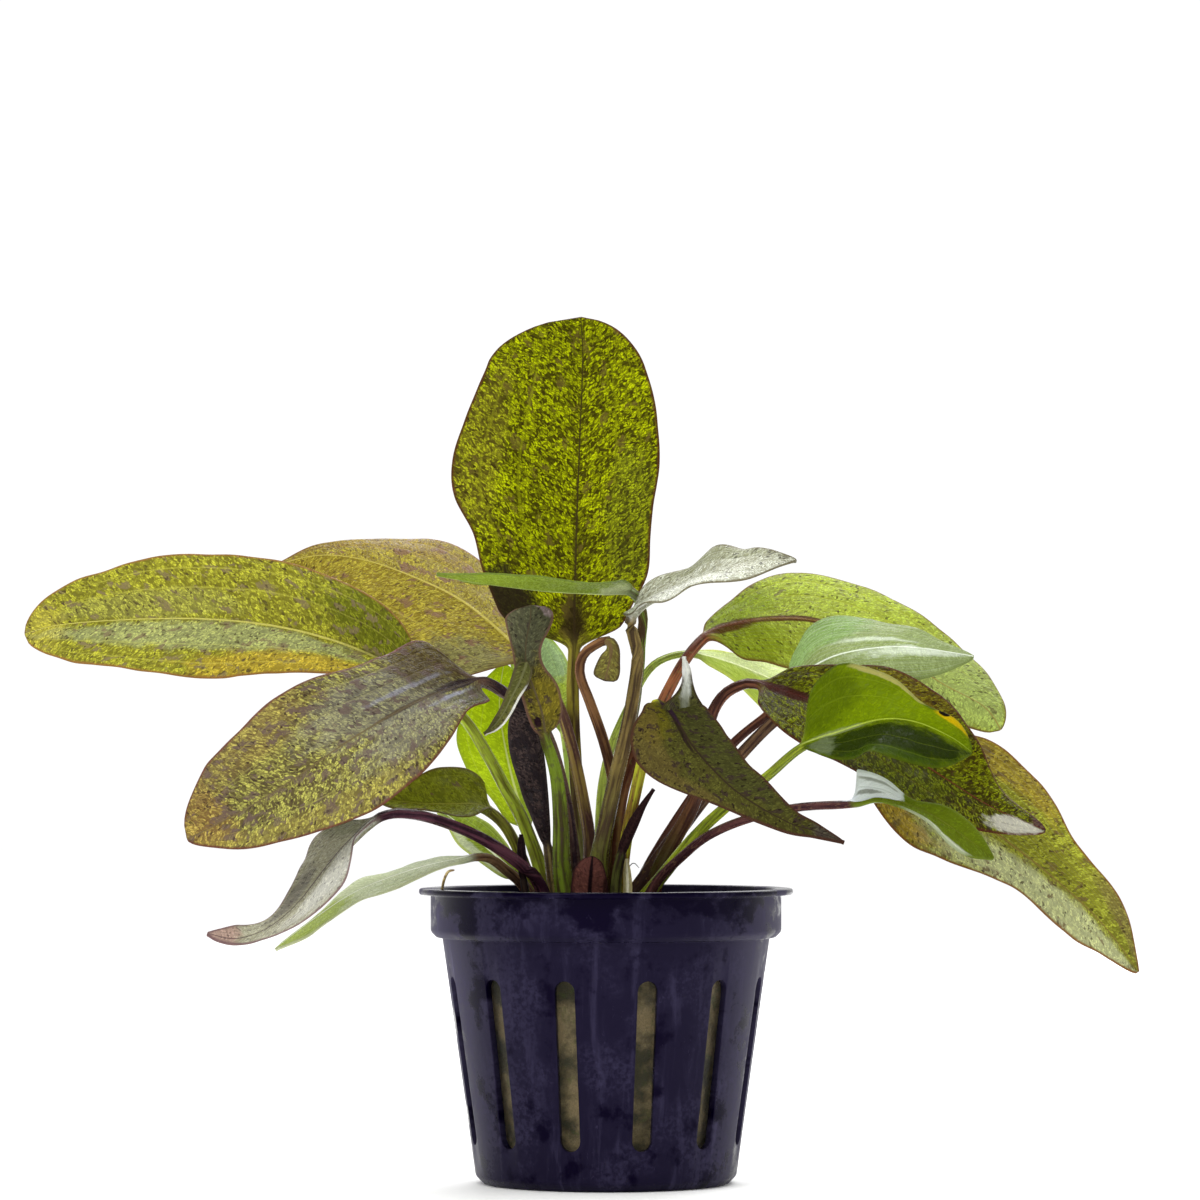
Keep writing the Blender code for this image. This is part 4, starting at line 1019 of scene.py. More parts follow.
def leaf_grid(leaf, settings, seed):
    """Every ring of a leaf as points (station, column, 3), with what the finish needs to know of each."""
    across, is_upper = ring_columns()
    midrib = Midrib(leaf.path)
    start = midrib.knot_places[max(leaf.stalk - 1, 0)]
    length = midrib.places[-1] - start
    shares = blade_shares(length, settings.station_gap)
    has_stalk = leaf.stalk > 1
    rings = max(6, round(start / (STALK_GAPS * settings.station_gap))) if has_stalk else 0
    place = np.concatenate([np.linspace(0.0, start, rings, endpoint=False), start + length * shares])
    share = np.concatenate([np.zeros(rings), shares])
    ahead = midrib.direction(place)
    face = along(leaf.faces * 2 if len(leaf.faces) == 1 else leaf.faces, share)
    up = unit(face - ahead * np.sum(face * ahead, axis=1, keepdims=True))
    centre, up, right = (rows[:, None, :] for rows in (midrib.point(place), up, np.cross(ahead, up)))

    a = np.abs(across)[None, :]
    side = np.where(across < 0, -1.0, 1.0)[None, :]
    sign = np.where(is_upper, 1.0, -1.0)[None, :]
    rib = (leaf.round[1] * MM * (1.0 - share) + RIB_AT_TIP * share)[:, None]
    half = half_widths(leaf, share, length, side, seed)
    lift = np.radians(np.where(side < 0, leaf.lifts[0], leaf.lifts[1]))
    x = half * a
    side_mm = side * x / MM
    along_mm = ((place - start) / MM)[:, None]
    base = (
        centre
        + right * (side * np.cos(lift) * x)[..., None]
        + up * (np.sin(lift) * half * a ** CREASE_CURVE)[..., None]
    )
    turn = lift * np.minimum(a / CREASE, 1.0)
    normal = up * np.cos(turn)[..., None] - right * (side * np.sin(turn))[..., None]

    # Relief: the leaf's own wave, ruffled margins, puckers between the veins, and the sunken veins
    fade = np.minimum(half / NARROW, 1.0)
    wave = leaf.wave[0] * MM * np.sin(math.tau * leaf.wave[1] * share[:, None] + side) * a ** 2 * fade
    ruffle = settings.ruffle * ripple(along_mm / RUFFLE_LENGTH, side * 5.0, seed + 1) * a ** 2.5 * fade
    fine = ripple(along_mm / FINE_RUFFLE_LENGTH, side * 3.0, seed + 2)
    ruffle = ruffle + FINE_RUFFLE * settings.ruffle * fine * a ** 5 * fade
    veins = sum(np.exp(-(((a - v) / VEIN_REACH) ** 2)) for v in LATERAL_VEINS)
    ascent = along_mm * CROSS_VEINS_UP - x / MM * CROSS_VEINS_OUT
    stir = 0.25 * ripple(side_mm / 4, along_mm / 5, seed + 3)
    quilt = 0.55 * np.cos(math.tau * (ascent / QUILT_LENGTH + stir))
    dimples = ripple(side_mm / PUCKER_ACROSS, along_mm / PUCKER_ALONG, seed + 4)
    swell = settings.pucker * (quilt * 0.4 + dimples * 0.8)
    swell = swell * np.sin(np.pi * np.clip(a, 0, 1)) ** 0.7 * fade
    pillow = PILLOW * half * np.sin(np.pi * a)
    relief = wave + ruffle + swell + pillow - settings.vein_depth * veins * fade

    margin = np.clip((a - MARGIN_START) / MARGIN_WIDTH, 0, 1)
    skin = settings.thickness / 2 * np.sqrt(np.clip(1.0 - margin ** 2, 0.0, 1.0)) * (1.0 - THINNING * a)
    ridge = np.exp(-((x / (0.75 * rib + 0.15 * MM)) ** 2))
    body = np.where(
        is_upper[None, :],
        skin + RIB_ABOVE * rib * ridge,
        skin + RIB_BELOW * rib * ridge + 0.5 * settings.vein_depth * veins * fade,
    )
    blade = base + normal * (relief + sign * body)[..., None]

    angle = np.where(is_upper, np.pi * (across + 1) / 2, np.pi + np.pi * (1 - across) / 2)[None, :]
    climb = np.minimum(place / max(start, 1e-6), 1.0)[:, None]
    stalk = stalk_rings(leaf, centre, right, up, angle, place, climb, seed)
    merge = smooth(0.0, MERGE_SHARE, share)[:, None] if has_stalk else np.ones((len(share), 1))
    points = stalk * (1 - merge)[..., None] + blade * merge[..., None]
    facts = {
        "leaf_share": (across[None, :], along_mm * MM / length, (sign + 1) / 2),
        "leaf_place": (side_mm, along_mm, place[:, None] / MM),
        "leaf_edge": (half * (1 - a) / MM, merge, climb),
    }
    return points, {key: np.stack(np.broadcast_arrays(*values), axis=-1) for key, values in facts.items()}


def closed_mesh(name, vertices, faces, sharp_degrees=60):
    """A smooth mesh whose faces point out, with its edges sharp where they turn by more than an angle."""
    mesh = bpy.data.meshes.new(name)
    mesh.from_pydata(vertices, [], faces)
    shape = bmesh.new()
    shape.from_mesh(mesh)
    bmesh.ops.recalc_face_normals(shape, faces=shape.faces)
    shape.to_mesh(mesh)
    shape.free()
    mesh.shade_smooth()
    mesh.set_sharp_from_angle(angle=math.radians(sharp_degrees))
    return mesh


def grid_mesh(name, points, facts):
    """A closed skin over the rings, its two ends closed by strips between the upper and the lower face."""
    stations, columns = points.shape[:2]
    width = (columns + 2) // 2
    ring = np.arange(stations * columns).reshape(stations, columns)
    low, high = ring[:-1], ring[1:]
    sides = np.stack([low, np.roll(low, -1, 1), np.roll(high, -1, 1), high], axis=-1).reshape(-1, 4)
    faces = [tuple(q) for q in sides.tolist()]
    for row, flip in ((ring[0], True), (ring[-1], False)):
        under = np.concatenate([[row[0]], row[:width - 1:-1], [row[width - 1]]])
        for k in range(width - 1):
            corners = [row[k], row[k + 1], under[k + 1], under[k]]
            corners = list(dict.fromkeys(int(c) for c in corners))
            faces.append(tuple(corners if flip else corners[::-1]))
    mesh = closed_mesh(name, points.reshape(-1, 3).tolist(), faces)
    for key, values in facts.items():
        layer = mesh.attributes.new(key, "FLOAT_VECTOR", "POINT")
        layer.data.foreach_set("vector", np.ascontiguousarray(values, np.float32).ravel())
    return mesh


def link(thing):
    """Puts an object into the scene."""
    bpy.context.scene.collection.objects.link(thing)
    return thing


def place_piece(name, mesh, material, slot, *nodes):
    """Links a finished mesh as a piece of the plant that stands for CAD nodes."""
    piece = link(bpy.data.objects.new(name, mesh))
    piece.data.materials.append(material)
    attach(piece, BODY)
    if nodes:
        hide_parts(*nodes)
    return piece


def arithmetic(operation, swapped=False):
    """A method that joins a wire and another value through a Math node."""

    def join(wire, other):
        pair = (other, wire) if swapped else (wire, other)
        return wire.bench.math(operation, *pair)

    return join


class Wire:
    """A node's output. Adding, multiplying and so on adds Math nodes."""

    __add__ = arithmetic("ADD")
    __radd__ = arithmetic("ADD", swapped=True)
    __sub__ = arithmetic("SUBTRACT")
    __rsub__ = arithmetic("SUBTRACT", swapped=True)
    __mul__ = arithmetic("MULTIPLY")
    __truediv__ = arithmetic("DIVIDE")

    def __init__(self, bench, socket):
        self.bench = bench
        self.socket = socket

    def __abs__(self):
        return self.bench.math("ABSOLUTE", self)


class Bench:
    """Adds shader nodes to one tree and joins them. What a node gives comes back as wires."""

    def __init__(self, tree):
        self.tree = tree

    def add(self, kind, feeds, **settings):
        """A new node with its settings, and its inputs fed by their names or numbers."""
        node = self.tree.nodes.new(kind)
        for key, value in settings.items():
            setattr(node, key, value)
        for key, value in feeds.items():
            self.feed(node.inputs[key], value)
        return node

    def feed(self, socket, value):
        if isinstance(value, Wire):
            self.tree.links.new(value.socket, socket)
        elif socket.type == "RGBA" and len(value) == 3:
            socket.default_value = (*value, 1.0)
        else:
            socket.default_value = value

    def wire(self, kind, feeds, output=0, **settings):
        """One output of a new node."""
        return Wire(self, self.add(kind, feeds, **settings).outputs[output])

    def wires(self, kind, feeds, **settings):
        """All outputs of a new node by name."""
        return {socket.name: Wire(self, socket) for socket in self.add(kind, feeds, **settings).outputs}

    def math(self, operation, a, b=0.0, clamp=False):
        return self.wire("ShaderNodeMath", {0: a, 1: b}, operation=operation, use_clamp=clamp)

    def step(self, low, high, value, to_low=0.0, to_high=1.0):
        """to_low below low, to_high above high, smooth between."""
        feeds = {"Value": value, "From Min": low, "From Max": high, "To Min": to_low, "To Max": to_high}
        return self.wire("ShaderNodeMapRange", feeds, "Result", interpolation_type="SMOOTHSTEP")

    def blend(self, factor, a, b, kind="MIX"):
        """Colour a, going over to b as factor goes to 1."""
        feeds = {0: factor, 6: a, 7: b}
        return self.wire("ShaderNodeMix", feeds, 2, data_type="RGBA", blend_type=kind, clamp_factor=True)

    def shaded(self, colour, shade):
        """A colour times a number."""
        return self.blend(1.0, colour, self.vector(shade, shade, shade), "MULTIPLY")

    def noise(self, vector, scale, detail=2.0, roughness=0.5, distortion=0.0):
        feeds = {"Vector": vector, "Scale": scale, "Detail": detail, "Roughness": roughness}
        return self.wire("ShaderNodeTexNoise", {**feeds, "Distortion": distortion})

    def wander(self, vector, scale, detail):
        """Three separate noises from -0.5 to 0.5."""
        noise = self.wire("ShaderNodeTexNoise", {"Vector": vector, "Scale": scale, "Detail": detail}, 1)
        return self.wire("ShaderNodeVectorMath", {0: noise, 1: (0.5, 0.5, 0.5)}, operation="SUBTRACT")

    def cells(self, vector, scale, randomness, feature="F1"):
        feeds = {"Vector": vector, "Scale": scale, "Randomness": randomness}
        return self.wires("ShaderNodeTexVoronoi", feeds, feature=feature)

    def bump(self, height, distance, strength):
        return self.wire("ShaderNodeBump", {"Height": height, "Distance": distance, "Strength": strength})

    def vector(self, x, y, z=0.0):
        return self.wire("ShaderNodeCombineXYZ", {"X": x, "Y": y, "Z": z})

    def split(self, vector):
        return self.wires("ShaderNodeSeparateXYZ", {"Vector": vector}).values()

    def place(self):
        return self.wire("ShaderNodeTexCoord", {}, "Object")

    def attribute(self, name):
        return self.wire("ShaderNodeAttribute", {}, "Vector", attribute_name=name)

    def group(self, tree, **feeds):
        feeds = {key.replace("_", " "): value for key, value in feeds.items()}
        return self.wires("ShaderNodeGroup", feeds, node_tree=tree)

    def surface(self, shader):
        self.add("ShaderNodeOutputMaterial", {"Surface": shader})


def shared_group(name, takes, gives, build):
    """A node group, made once. takes and gives name its sockets, and build(bench, inputs) fills it."""
    tree = bpy.data.node_groups.get(name)
    if tree is None:
        tree = bpy.data.node_groups.new(name, "ShaderNodeTree")
        for label, value in takes.items():
            kind = {tuple: "NodeSocketColor", float: "NodeSocketFloat"}.get(type(value), "NodeSocketVector")
            socket = tree.interface.new_socket(label, in_out="INPUT", socket_type=kind)
            if value is not None:
                socket.default_value = (*value, 1.0) if isinstance(value, tuple) else value
        for label in gives:
            kind = "NodeSocketColor" if label == "Colour" else "NodeSocketFloat"
            tree.interface.new_socket(label, in_out="OUTPUT", socket_type=kind)
        bench = Bench(tree)
        results = build(bench, bench.wires("NodeGroupInput", {}))
        bench.add("NodeGroupOutput", dict(zip(gives, results)))
    return tree


def areoles_group():
    """The small cells between the cross veins: how bright each is, and which are stained or spotted."""

    def build(b, i):
        side, length, _ = b.split(i["Place"])
        out = abs(side)
        layer = i["Seed"] + b.math("SIGN", side) * SIDES_APART
        flat = b.vector(side, length, i["Seed"])
        stir_out, stir_up, _ = b.split(b.wander(flat, 0.8, 3.0))
        climb = length - out * CELL_SLANT
        u = out + stir_out * CELL_WANDER
        v = climb + stir_up * CELL_WANDER
        spot = b.vector(u * CELLS_OUT, v * CELLS_UP, layer)
        cells = b.cells(spot, 1.0, 0.85)
        edges = b.cells(spot, 1.0, 0.85, "DISTANCE_TO_EDGE")
        blocks = b.cells(spot, 0.36, 1.0)
        chance, speck, _ = b.split(cells["Color"])
        block, _, _ = b.split(blocks["Color"])
        clumps = b.noise(flat, 0.35, 2.0) - 0.5
        level = b.step(0.2, 0.8, chance * 0.72 + block * 0.28 + clumps * 0.35)
        # The darker cell edges are partly the fine veins between the cells and partly painted shade of each
        # cell's relief
        edge_lines_and_shade = b.step(0.16, 0.02, edges["Distance"])
        level = level * (1.0 - edge_lines_and_shade * 0.7)
        pu, pv, _ = b.split(cells["Position"])
        pu = pu / CELLS_OUT / i["Size"]
        pv = pv / CELLS_UP / (i["Size"] * 1.5)
        stains = b.noise(b.vector(pu, pv, layer), 0.75, 3.0, 0.6)
        limit = 0.68 - i["Amount"] * 0.5
        stained = b.step(limit, limit + 0.05, stains) * b.step(0.0, 0.03, i["Amount"])
        spotted = b.step(0.93, 0.96, speck + clumps * -0.2) * b.step(0.0, 0.1, i["Amount"])
        return level, stained, spotted

    return shared_group("Leaf areoles", {"Place": None, "Size": 1.5, "Amount": 0.1, "Seed": 0.0},
                        ("Level", "Stained", "Spotted"), build)


def veins_group():
    """The midrib, the long side veins and the fine cross veins, as masks, with painted shade beside the
    midrib.
    """

    def build(b, i):
        across, share, _ = b.split(i["Share"])
        side, length, _ = b.split(i["Place"])
        out = abs(side)
        half_share = abs(across)
        width = b.step(0.0, 1.0, share, *MIDRIB_WIDTHS)
        midrib = b.step(width, width * 0.45, out)
        # painted shade: a dark line on each side of the midrib
        flank_shade = b.step(width * 3.2, width, out)
        laterals = 0.0
        for place in LATERAL_VEINS:
            laterals = b.math("MAXIMUM", laterals, b.step(0.018, 0.005, abs(half_share - place)))
        fine = abs(b.math("FRACT", half_share * FINE_VEINS) - 0.5)
        fine = b.step(0.12, 0.0, fine) * 0.5
        climb = length * CROSS_VEINS_UP - out * CROSS_VEINS_OUT
        stir = b.noise(b.vector(side, length, i["Seed"]), 0.45, 2.0)
        wave = b.math("FRACT", climb * 0.62 + stir * 2.2)
        crosses = b.step(0.13, 0.02, abs(wave - 0.5))
        return midrib, flank_shade, laterals, crosses, fine

    return shared_group("Leaf veins", {"Share": None, "Place": None, "Seed": 0.0},
                        ("Midrib", "Flanks", "Laterals", "Crosses", "Fine"), build)


def patch_group():
    """A soft, ragged oval on the blade, placed across and along it."""

    def build(b, i):
        across, share, _ = b.split(i["Share"])
        side, length, _ = b.split(i["Place"])
        u = (across - i["Across"]) / i["Reach Across"]
        v = (share - i["Along"]) / i["Reach Along"]
        far = b.math("SQRT", u * u + v * v)
        ragged = b.noise(b.vector(side, length * 0.6, i["Across"]), 0.7, 4.0, 0.6)
        far = far + (ragged - 0.5) * i["Ragged"]
        full = 1.0 - i["Softness"]
        return (b.step(1.0, full, far) * i["Strength"],)

    takes = {
        "Share": None, "Place": None, "Across": 0.0, "Along": 0.5, "Reach Across": 0.5, "Reach Along": 0.5,
        "Ragged": 0.9, "Softness": 0.45, "Strength": 1.0,
    }
    return shared_group("Leaf patch", takes, ("Mask",), build)


def stalk_group():
    """The stalk's long streaks and its small red spots."""

    def build(b, i):
        across, _, upper = b.split(i["Share"])
        _, _, climb = b.split(i["Place"])
        turn = across + upper * UNDERSIDE_APART
        drawn_out = b.vector(turn * 2.4, climb * 0.1, i["Seed"])
        rounder = b.vector(turn * 3.0, climb * 0.9, i["Seed"])
        streaks = b.noise(drawn_out, 1.0, 3.0)
        spots = b.noise(rounder, 1.0, 2.0)
        low = b.noise(b.vector(climb, i["Seed"]), 0.12, 1.0) - 0.5
        return b.step(0.36, 0.62, streaks + low * 0.5), b.step(0.56, 0.66, spots)

    takes = {"Share": None, "Place": None, "Seed": 0.0}
    return shared_group("Stalk marks", takes, ("Streaks", "Spots"), build)


def leaf_skin_group():
    """A leaf's surface without its own patches: colour, roughness, height, and where it is thin."""

    def build(b, i):
        share, place, edge = (b.attribute(name) for name in ("leaf_share", "leaf_place", "leaf_edge"))
        side, length, _ = b.split(place)
        rim_mm, blade, climb = b.split(edge)
        _, _, upper = b.split(share)
        seed = i["Seed"]
        cells = b.group(areoles_group(), Place=place, Size=i["Blotch Size"], Amount=i["Blotches"], Seed=seed)
        veins = b.group(veins_group(), Share=share, Place=place, Seed=seed)
        marks = b.group(stalk_group(), Share=share, Place=place, Seed=seed)
        clouds = b.noise(b.vector(side, length * 0.6, seed), 0.09, 2.0)
        weight = cells["Level"] * i["Flecks"] + (1.0 - i["Flecks"]) * clouds
        colour = b.blend(weight, i["Deep"], i["Bright"])
        colour = b.shaded(colour, b.step(0.25, 0.75, clouds, 0.9, 1.08))
        colour = b.blend(veins["Crosses"] * 0.2, colour, i["Deep"])
        colour = b.blend(cells["Stained"] * 0.8, colour, i["Blotch"])
        dark = b.blend(1.0, i["Blotch"], SPOT_TINT, "MULTIPLY")
        colour = b.blend(cells["Spotted"] * 0.75, colour, dark)
        # painted shade on each side of the midrib
        colour = b.blend(veins["Flanks"] * 0.35, colour, i["Deep"])
        pale = b.blend(0.5, i["Bright"], i["Rib"])
        colour = b.blend(veins["Laterals"] * 0.4, colour, pale)
        colour = b.blend(veins["Fine"] * (i["Bloom"] * 0.9), colour, BLOOM_COLOUR)
        colour = b.blend(veins["Midrib"] * 0.9, colour, i["Rib"])
        waver = b.noise(place, 0.4, 2.0) * 0.3
        rim = b.step(0.42 + waver, 0.12, rim_mm)
        colour = b.blend(rim * 0.9, colour, i["Rim"])
        colour = b.blend((1.0 - upper) * 0.12, colour, b.blend(0.5, i["Bright"], UNDERSIDE_COLOUR))
        stalk = b.blend(b.step(0.6, 0.15, climb), i["Stalk"], i["Foot"])
        stalk = b.blend(marks["Streaks"], stalk, i["Stalk Dark"])
        stalk = b.blend(marks["Spots"] * 0.45, stalk, i["Blotch"])
        colour = b.blend(blade, stalk, colour)
        relief = cells["Level"] * 0.9 - veins["Crosses"] * 0.35
        relief = relief - veins["Fine"] * 0.5 - veins["Laterals"] * 0.5
        relief = b.wire("ShaderNodeMix", {0: blade, 2: marks["Streaks"] * 0.6, 3: relief})
        rough = i["Gloss"] + (cells["Level"] - 0.5) * 0.3 + cells["Stained"] * 0.12
        thin = blade * (1.0 - veins["Midrib"] * 0.7) * (1.0 - cells["Stained"] * 0.6)
        return colour, rough, relief, thin

    colours = ("Bright", "Deep", "Blotch", "Rim", "Rib", "Stalk", "Stalk Dark", "Foot")
    takes = {
        **dict.fromkeys(colours, (0.0, 0.0, 0.0)), "Blotches": 0.1, "Blotch Size": 1.5, "Flecks": 1.0,
        "Bloom": 0.0, "Gloss": 0.38, "Seed": 0.0,
    }
    return shared_group("Leaf skin", takes, ("Colour", "Roughness", "Height", "Thin"), build)


def new_material(name):
    """An empty material and its bench."""
    material = bpy.data.materials.new(name)
    material.use_nodes = True
    material.node_tree.nodes.clear()
    return material, Bench(material.node_tree)


def leaf_material(name, look, seed, tone):
    """The living surface of one leaf: its skin, its patches (some painted light and shade), and the light
    through it.
    """
    material, b = new_material(name + "_skin")

    def tint(colour):
        return tuple(c * tone * look.light for c in paint(*colour))

    bright, deep, over = tint(look.bright), tint(look.deep), []
    share, place = b.attribute("leaf_share"), b.attribute("leaf_place")
    for patch in look.patches:
        mask = b.group(
            patch_group(), Share=share, Place=place, Across=patch.across, Along=patch.along,
            Reach_Across=patch.reach_across, Reach_Along=patch.reach_along, Strength=patch.strength,
            Ragged=patch.ragged, Softness=patch.softness,
        )["Mask"]
        hue = tint(patch.colour)
        bright = b.blend(mask, bright, tuple(c * PATCH_BRIGHT for c in hue))
        deep = b.blend(mask, deep, tuple(c * PATCH_DEEP for c in hue))
        if patch.solid:
            over.append((mask * patch.solid, hue))
    skin = b.group(
        leaf_skin_group(), Bright=bright, Deep=deep, Blotch=tint(look.blotch), Rim=tint(look.rim),
        Rib=tint(look.rib), Stalk=tint(look.stalk), Stalk_Dark=tint(look.stalk_dark),
        Foot=tint(look.foot or look.stalk), Blotches=look.blotches, Blotch_Size=look.blotch_size,
        Flecks=look.flecks, Bloom=look.bloom, Gloss=look.gloss, Seed=float(seed),
    )
    colour = skin["Colour"]
    for mask, hue in over:
        colour = b.blend(mask, colour, hue)
    shader = b.wire("ShaderNodeBsdfPrincipled", {
        "Base Color": colour, "Roughness": skin["Roughness"],
        "Normal": b.bump(skin["Height"], 0.2 * MM, 0.75), "Specular IOR Level": look.shine,
    })
    glow = b.blend(0.35, colour, b.blend(1.0, colour, LIGHT_THROUGH, "MULTIPLY"))
    through = b.wire("ShaderNodeBsdfTranslucent", {"Color": glow})
    b.surface(b.wire("ShaderNodeMixShader", {0: skin["Thin"] * look.through, 1: shader, 2: through}))
    return material


def plastic_material(settings):
    """The pot's dark glossy plastic: lime film washed off in ragged patches, fine scuffs, painted sheen at
    its sides.
    """
    material, b = new_material("dusty_black_plastic")
    place = b.place()
    x, y, z = b.split(place)
    turn = b.math("ARCTAN2", y, x)
    clouds = b.noise(place, 90.0, 4.0, 0.6)
    grain = b.noise(place, 1400.0, 3.0, 0.6)
    runs = b.noise(b.vector(turn * 9.0, z * 60.0), 1.0, 4.0, 0.6, 0.4)
    scuffs = b.step(0.63, 0.74, b.noise(b.vector(turn * 40.0, z * 900.0), 1.0, 5.0, 0.7, 1.2))
    high = b.step(POT_HEIGHT - 7 * MM, POT_HEIGHT - 2.5 * MM, z, -0.06, 0.02)
    washed = b.noise(b.vector(turn * 3.4, z * 150.0), 1.0, 7.0, 0.62) + high
    film = b.step(0.58, 0.46, washed)
    dust_and_sheen = b.step(0.42, 0.75, clouds) * b.step(0.3, 0.7, grain)
    dust_and_sheen = dust_and_sheen * 0.16 + b.step(0.5, 0.8, runs) * 0.14
    # painted sheen: lighter towards the pot's left and right sides as the camera sees them
    sides = b.step(12 * MM, LIP_RADIUS, abs(x), 0.05, 0.24)
    dust_and_sheen = b.math("ADD", (dust_and_sheen + sides) * film, scuffs * 0.12, clamp=True)
    b.surface(b.wire("ShaderNodeBsdfPrincipled", {
        "Base Color": b.blend(dust_and_sheen, tuple(settings.plastic), tuple(settings.plastic_dust_and_sheen)),
        "Roughness": b.step(0.0, 0.3, dust_and_sheen, 0.16, 0.5) + grain * 0.08,
        "Normal": b.bump(grain * 0.5 + scuffs * -0.6, 0.05 * MM, 0.35),
        "Specular IOR Level": 0.05, "Specular Tint": (0.7, 0.6, 1.0),
    }))
    return material


def wool_material(settings, name, lift):
    """Matted mineral fibre, stained by algae and peat."""
    material, b = new_material(name)
    place = b.place()
    fibres = b.noise(place, 2600.0, 4.0, 0.7, 2.5)
    stains = b.noise(place, 170.0, 4.0, 0.6)
    moss = b.noise(place, 420.0, 3.0, 0.6, 0.6)
    pale = tuple(min(c * lift, 1.0) for c in settings.wool)
    colour = b.blend(b.step(0.38, 0.62, stains), pale, tuple(settings.wool_stain))
    colour = b.blend(b.step(0.55, 0.7, moss) * 0.6, colour, paint(70, 84, 26))
    b.surface(b.wire("ShaderNodeBsdfPrincipled", {
        "Base Color": b.shaded(colour, b.step(0.3, 0.7, fibres, 0.5, 1.15)),
        "Roughness": b.step(0.3, 0.7, fibres, 0.75, 0.95),
        "Normal": b.bump(fibres, 0.3 * MM, 0.8), "Sheen Weight": 0.2,
    }))
    return material


def crown_material():
    """The ringed, fibrous skin of the crown, with the scars of lost leaves."""
    material, b = new_material("ringed_crown_skin")
    place = b.place()
    x, y, _ = b.split(place)
    far_x = x - CROWN_CENTRE.x
    far_y = y - CROWN_CENTRE.y
    far = b.math("SQRT", far_x * far_x + far_y * far_y)
    stir = b.noise(place, 300.0, 3.0) * 0.004
    rings = b.math("SINE", (far + stir) * 3600.0)
    fibres = b.noise(place, 1500.0, 4.0, 0.65, 1.0)
    clouds = b.noise(place, 220.0, 3.0)
    colour = b.blend(b.step(0.35, 0.65, clouds), paint(112, 88, 48), paint(52, 34, 26))
    colour = b.blend(b.step(-0.2, 0.9, rings) * 0.5, colour, paint(134, 122, 62))
    b.surface(b.wire("ShaderNodeBsdfPrincipled", {
        "Base Color": b.shaded(colour, b.step(0.3, 0.7, fibres, 0.6, 1.1)),
        "Roughness": b.step(0.2, 0.8, fibres, 0.5, 0.8),
        "Normal": b.bump(fibres + rings * 0.3, 0.2 * MM, 0.7),
    }))
    return material


def fibre_material(name, pale, dark):
    """A dry plant fibre with a mottled length."""
    material, b = new_material(name)
    mottle = b.noise(b.place(), 500.0, 3.0, 0.6)
    b.surface(b.wire("ShaderNodeBsdfPrincipled", {
        "Base Color": b.blend(b.step(0.35, 0.65, mottle), paint(*pale), paint(*dark)),
        "Roughness": b.step(0.3, 0.7, mottle, 0.5, 0.7),
    }))
    return material


def floor_material(colour):
    """The pale floor, very faintly speckled."""
    material, b = new_material("pale_floor")
    speckle = b.step(0.3, 0.7, b.noise(b.place(), 700.0, 3.0), 0.985, 1.0)
    b.surface(b.wire("ShaderNodeBsdfPrincipled", {
        "Base Color": b.shaded(colour, speckle), "Roughness": 0.9, "Specular IOR Level": 0.2,
    }))
    return material


def polar(radius, angle):
    """The place at a radius and an angle about Z."""
    return radius * math.cos(angle), radius * math.sin(angle)


def ring_faces(low, high, sides):
    """The faces between two rings of vertices, whose first numbers are low and high."""
    return [(low + k, low + (k + 1) % sides, high + (k + 1) % sides, high + k) for k in range(sides)]


def turned_mesh(name, profile, sides, shape=lambda angle, radius, height: (radius, height)):
    """A closed body turned about Z from (radius, height) pairs that start and end on the axis.

    shape(angle, radius, height) returns the radius and height that each point gets.
    """
    inner = profile[1:-1]
    vertices = [(0.0, 0.0, profile[0][1])]
    for radius, height in inner:
        for k in range(sides):
            angle = math.tau * k / sides
            r, z = shape(angle, radius, height)
            vertices.append((*polar(r, angle), z))
    vertices.append((0.0, 0.0, shape(0.0, 0.0, profile[-1][1])[1]))
    last = len(vertices) - 1
    faces = []
    for k in range(sides):
        n = (k + 1) % sides
        faces.append((0, 1 + n, 1 + k))
        for low in range(1, last - sides, sides):
            faces.append((low + k, low + n, low + sides + n, low + sides + k))
        faces.append((last - sides + k, last - sides + n, last))
    return closed_mesh(name, vertices, faces, SHARP_EDGE)


def rounded(corners, steps=4):
    """A profile's corners (radius, height, rounding), each rounding drawn as a short smooth curve."""
    points = []
    for i, (r, z, rounding) in enumerate(corners):
        here = Vector((r, z))
        if rounding == 0.0:
            points.append((r, z))
            continue
        ends = []
        for other in (corners[i - 1], corners[i + 1]):
            away = Vector(other[:2]) - here
            ends.append(here + away.normalized() * min(rounding, away.length * 0.48))
        for k in range(steps + 1):
            t = k / steps
            points.append(tuple(ends[0] * (1 - t) ** 2 + here * 2 * t * (1 - t) + ends[1] * t * t))
    return points


def subdivided(profile, gap):
    """The profile with its long runs divided into steps of about one gap."""
    points = [profile[0]]
    for (r0, z0), (r1, z1) in zip(profile, profile[1:]):
        steps = max(1, round(math.hypot(r1 - r0, z1 - z0) / gap))
        points += [(r0 + (r1 - r0) * k / steps, z0 + (z1 - z0) * k / steps) for k in range(1, steps + 1)]
    return points


def tubes_mesh(name, threads, sides=5):
    """One mesh of thin closed tubes. Each thread is its points (metres) and its radius."""
    vertices, faces = [], []
    for points, radius in threads:
        first = len(vertices)
        count = len(points)
        for i, point in enumerate(points):
            ahead = (points[min(i + 1, count - 1)] - points[max(i - 1, 0)]).normalized()
            across = ahead.cross(Vector((0.0, 0.0, 1.0)))
            across = across.normalized() if across.length > 1e-4 else Vector((1.0, 0.0, 0.0))
            over = across.cross(ahead)
            size = radius * (0.35 + 0.65 * math.sin(math.pi * (i + 0.5) / count) ** 0.5)
            for k in range(sides):
                angle = math.tau * k / sides
                vertices.append(tuple(point + (across * math.cos(angle) + over * math.sin(angle)) * size))
        for i in range(count - 1):
            faces += ring_faces(first + i * sides, first + (i + 1) * sides, sides)
        faces.append(tuple(reversed(range(first, first + sides))))
        faces.append(tuple(range(first + (count - 1) * sides, first + count * sides)))
    return closed_mesh(name, vertices, faces, 180)


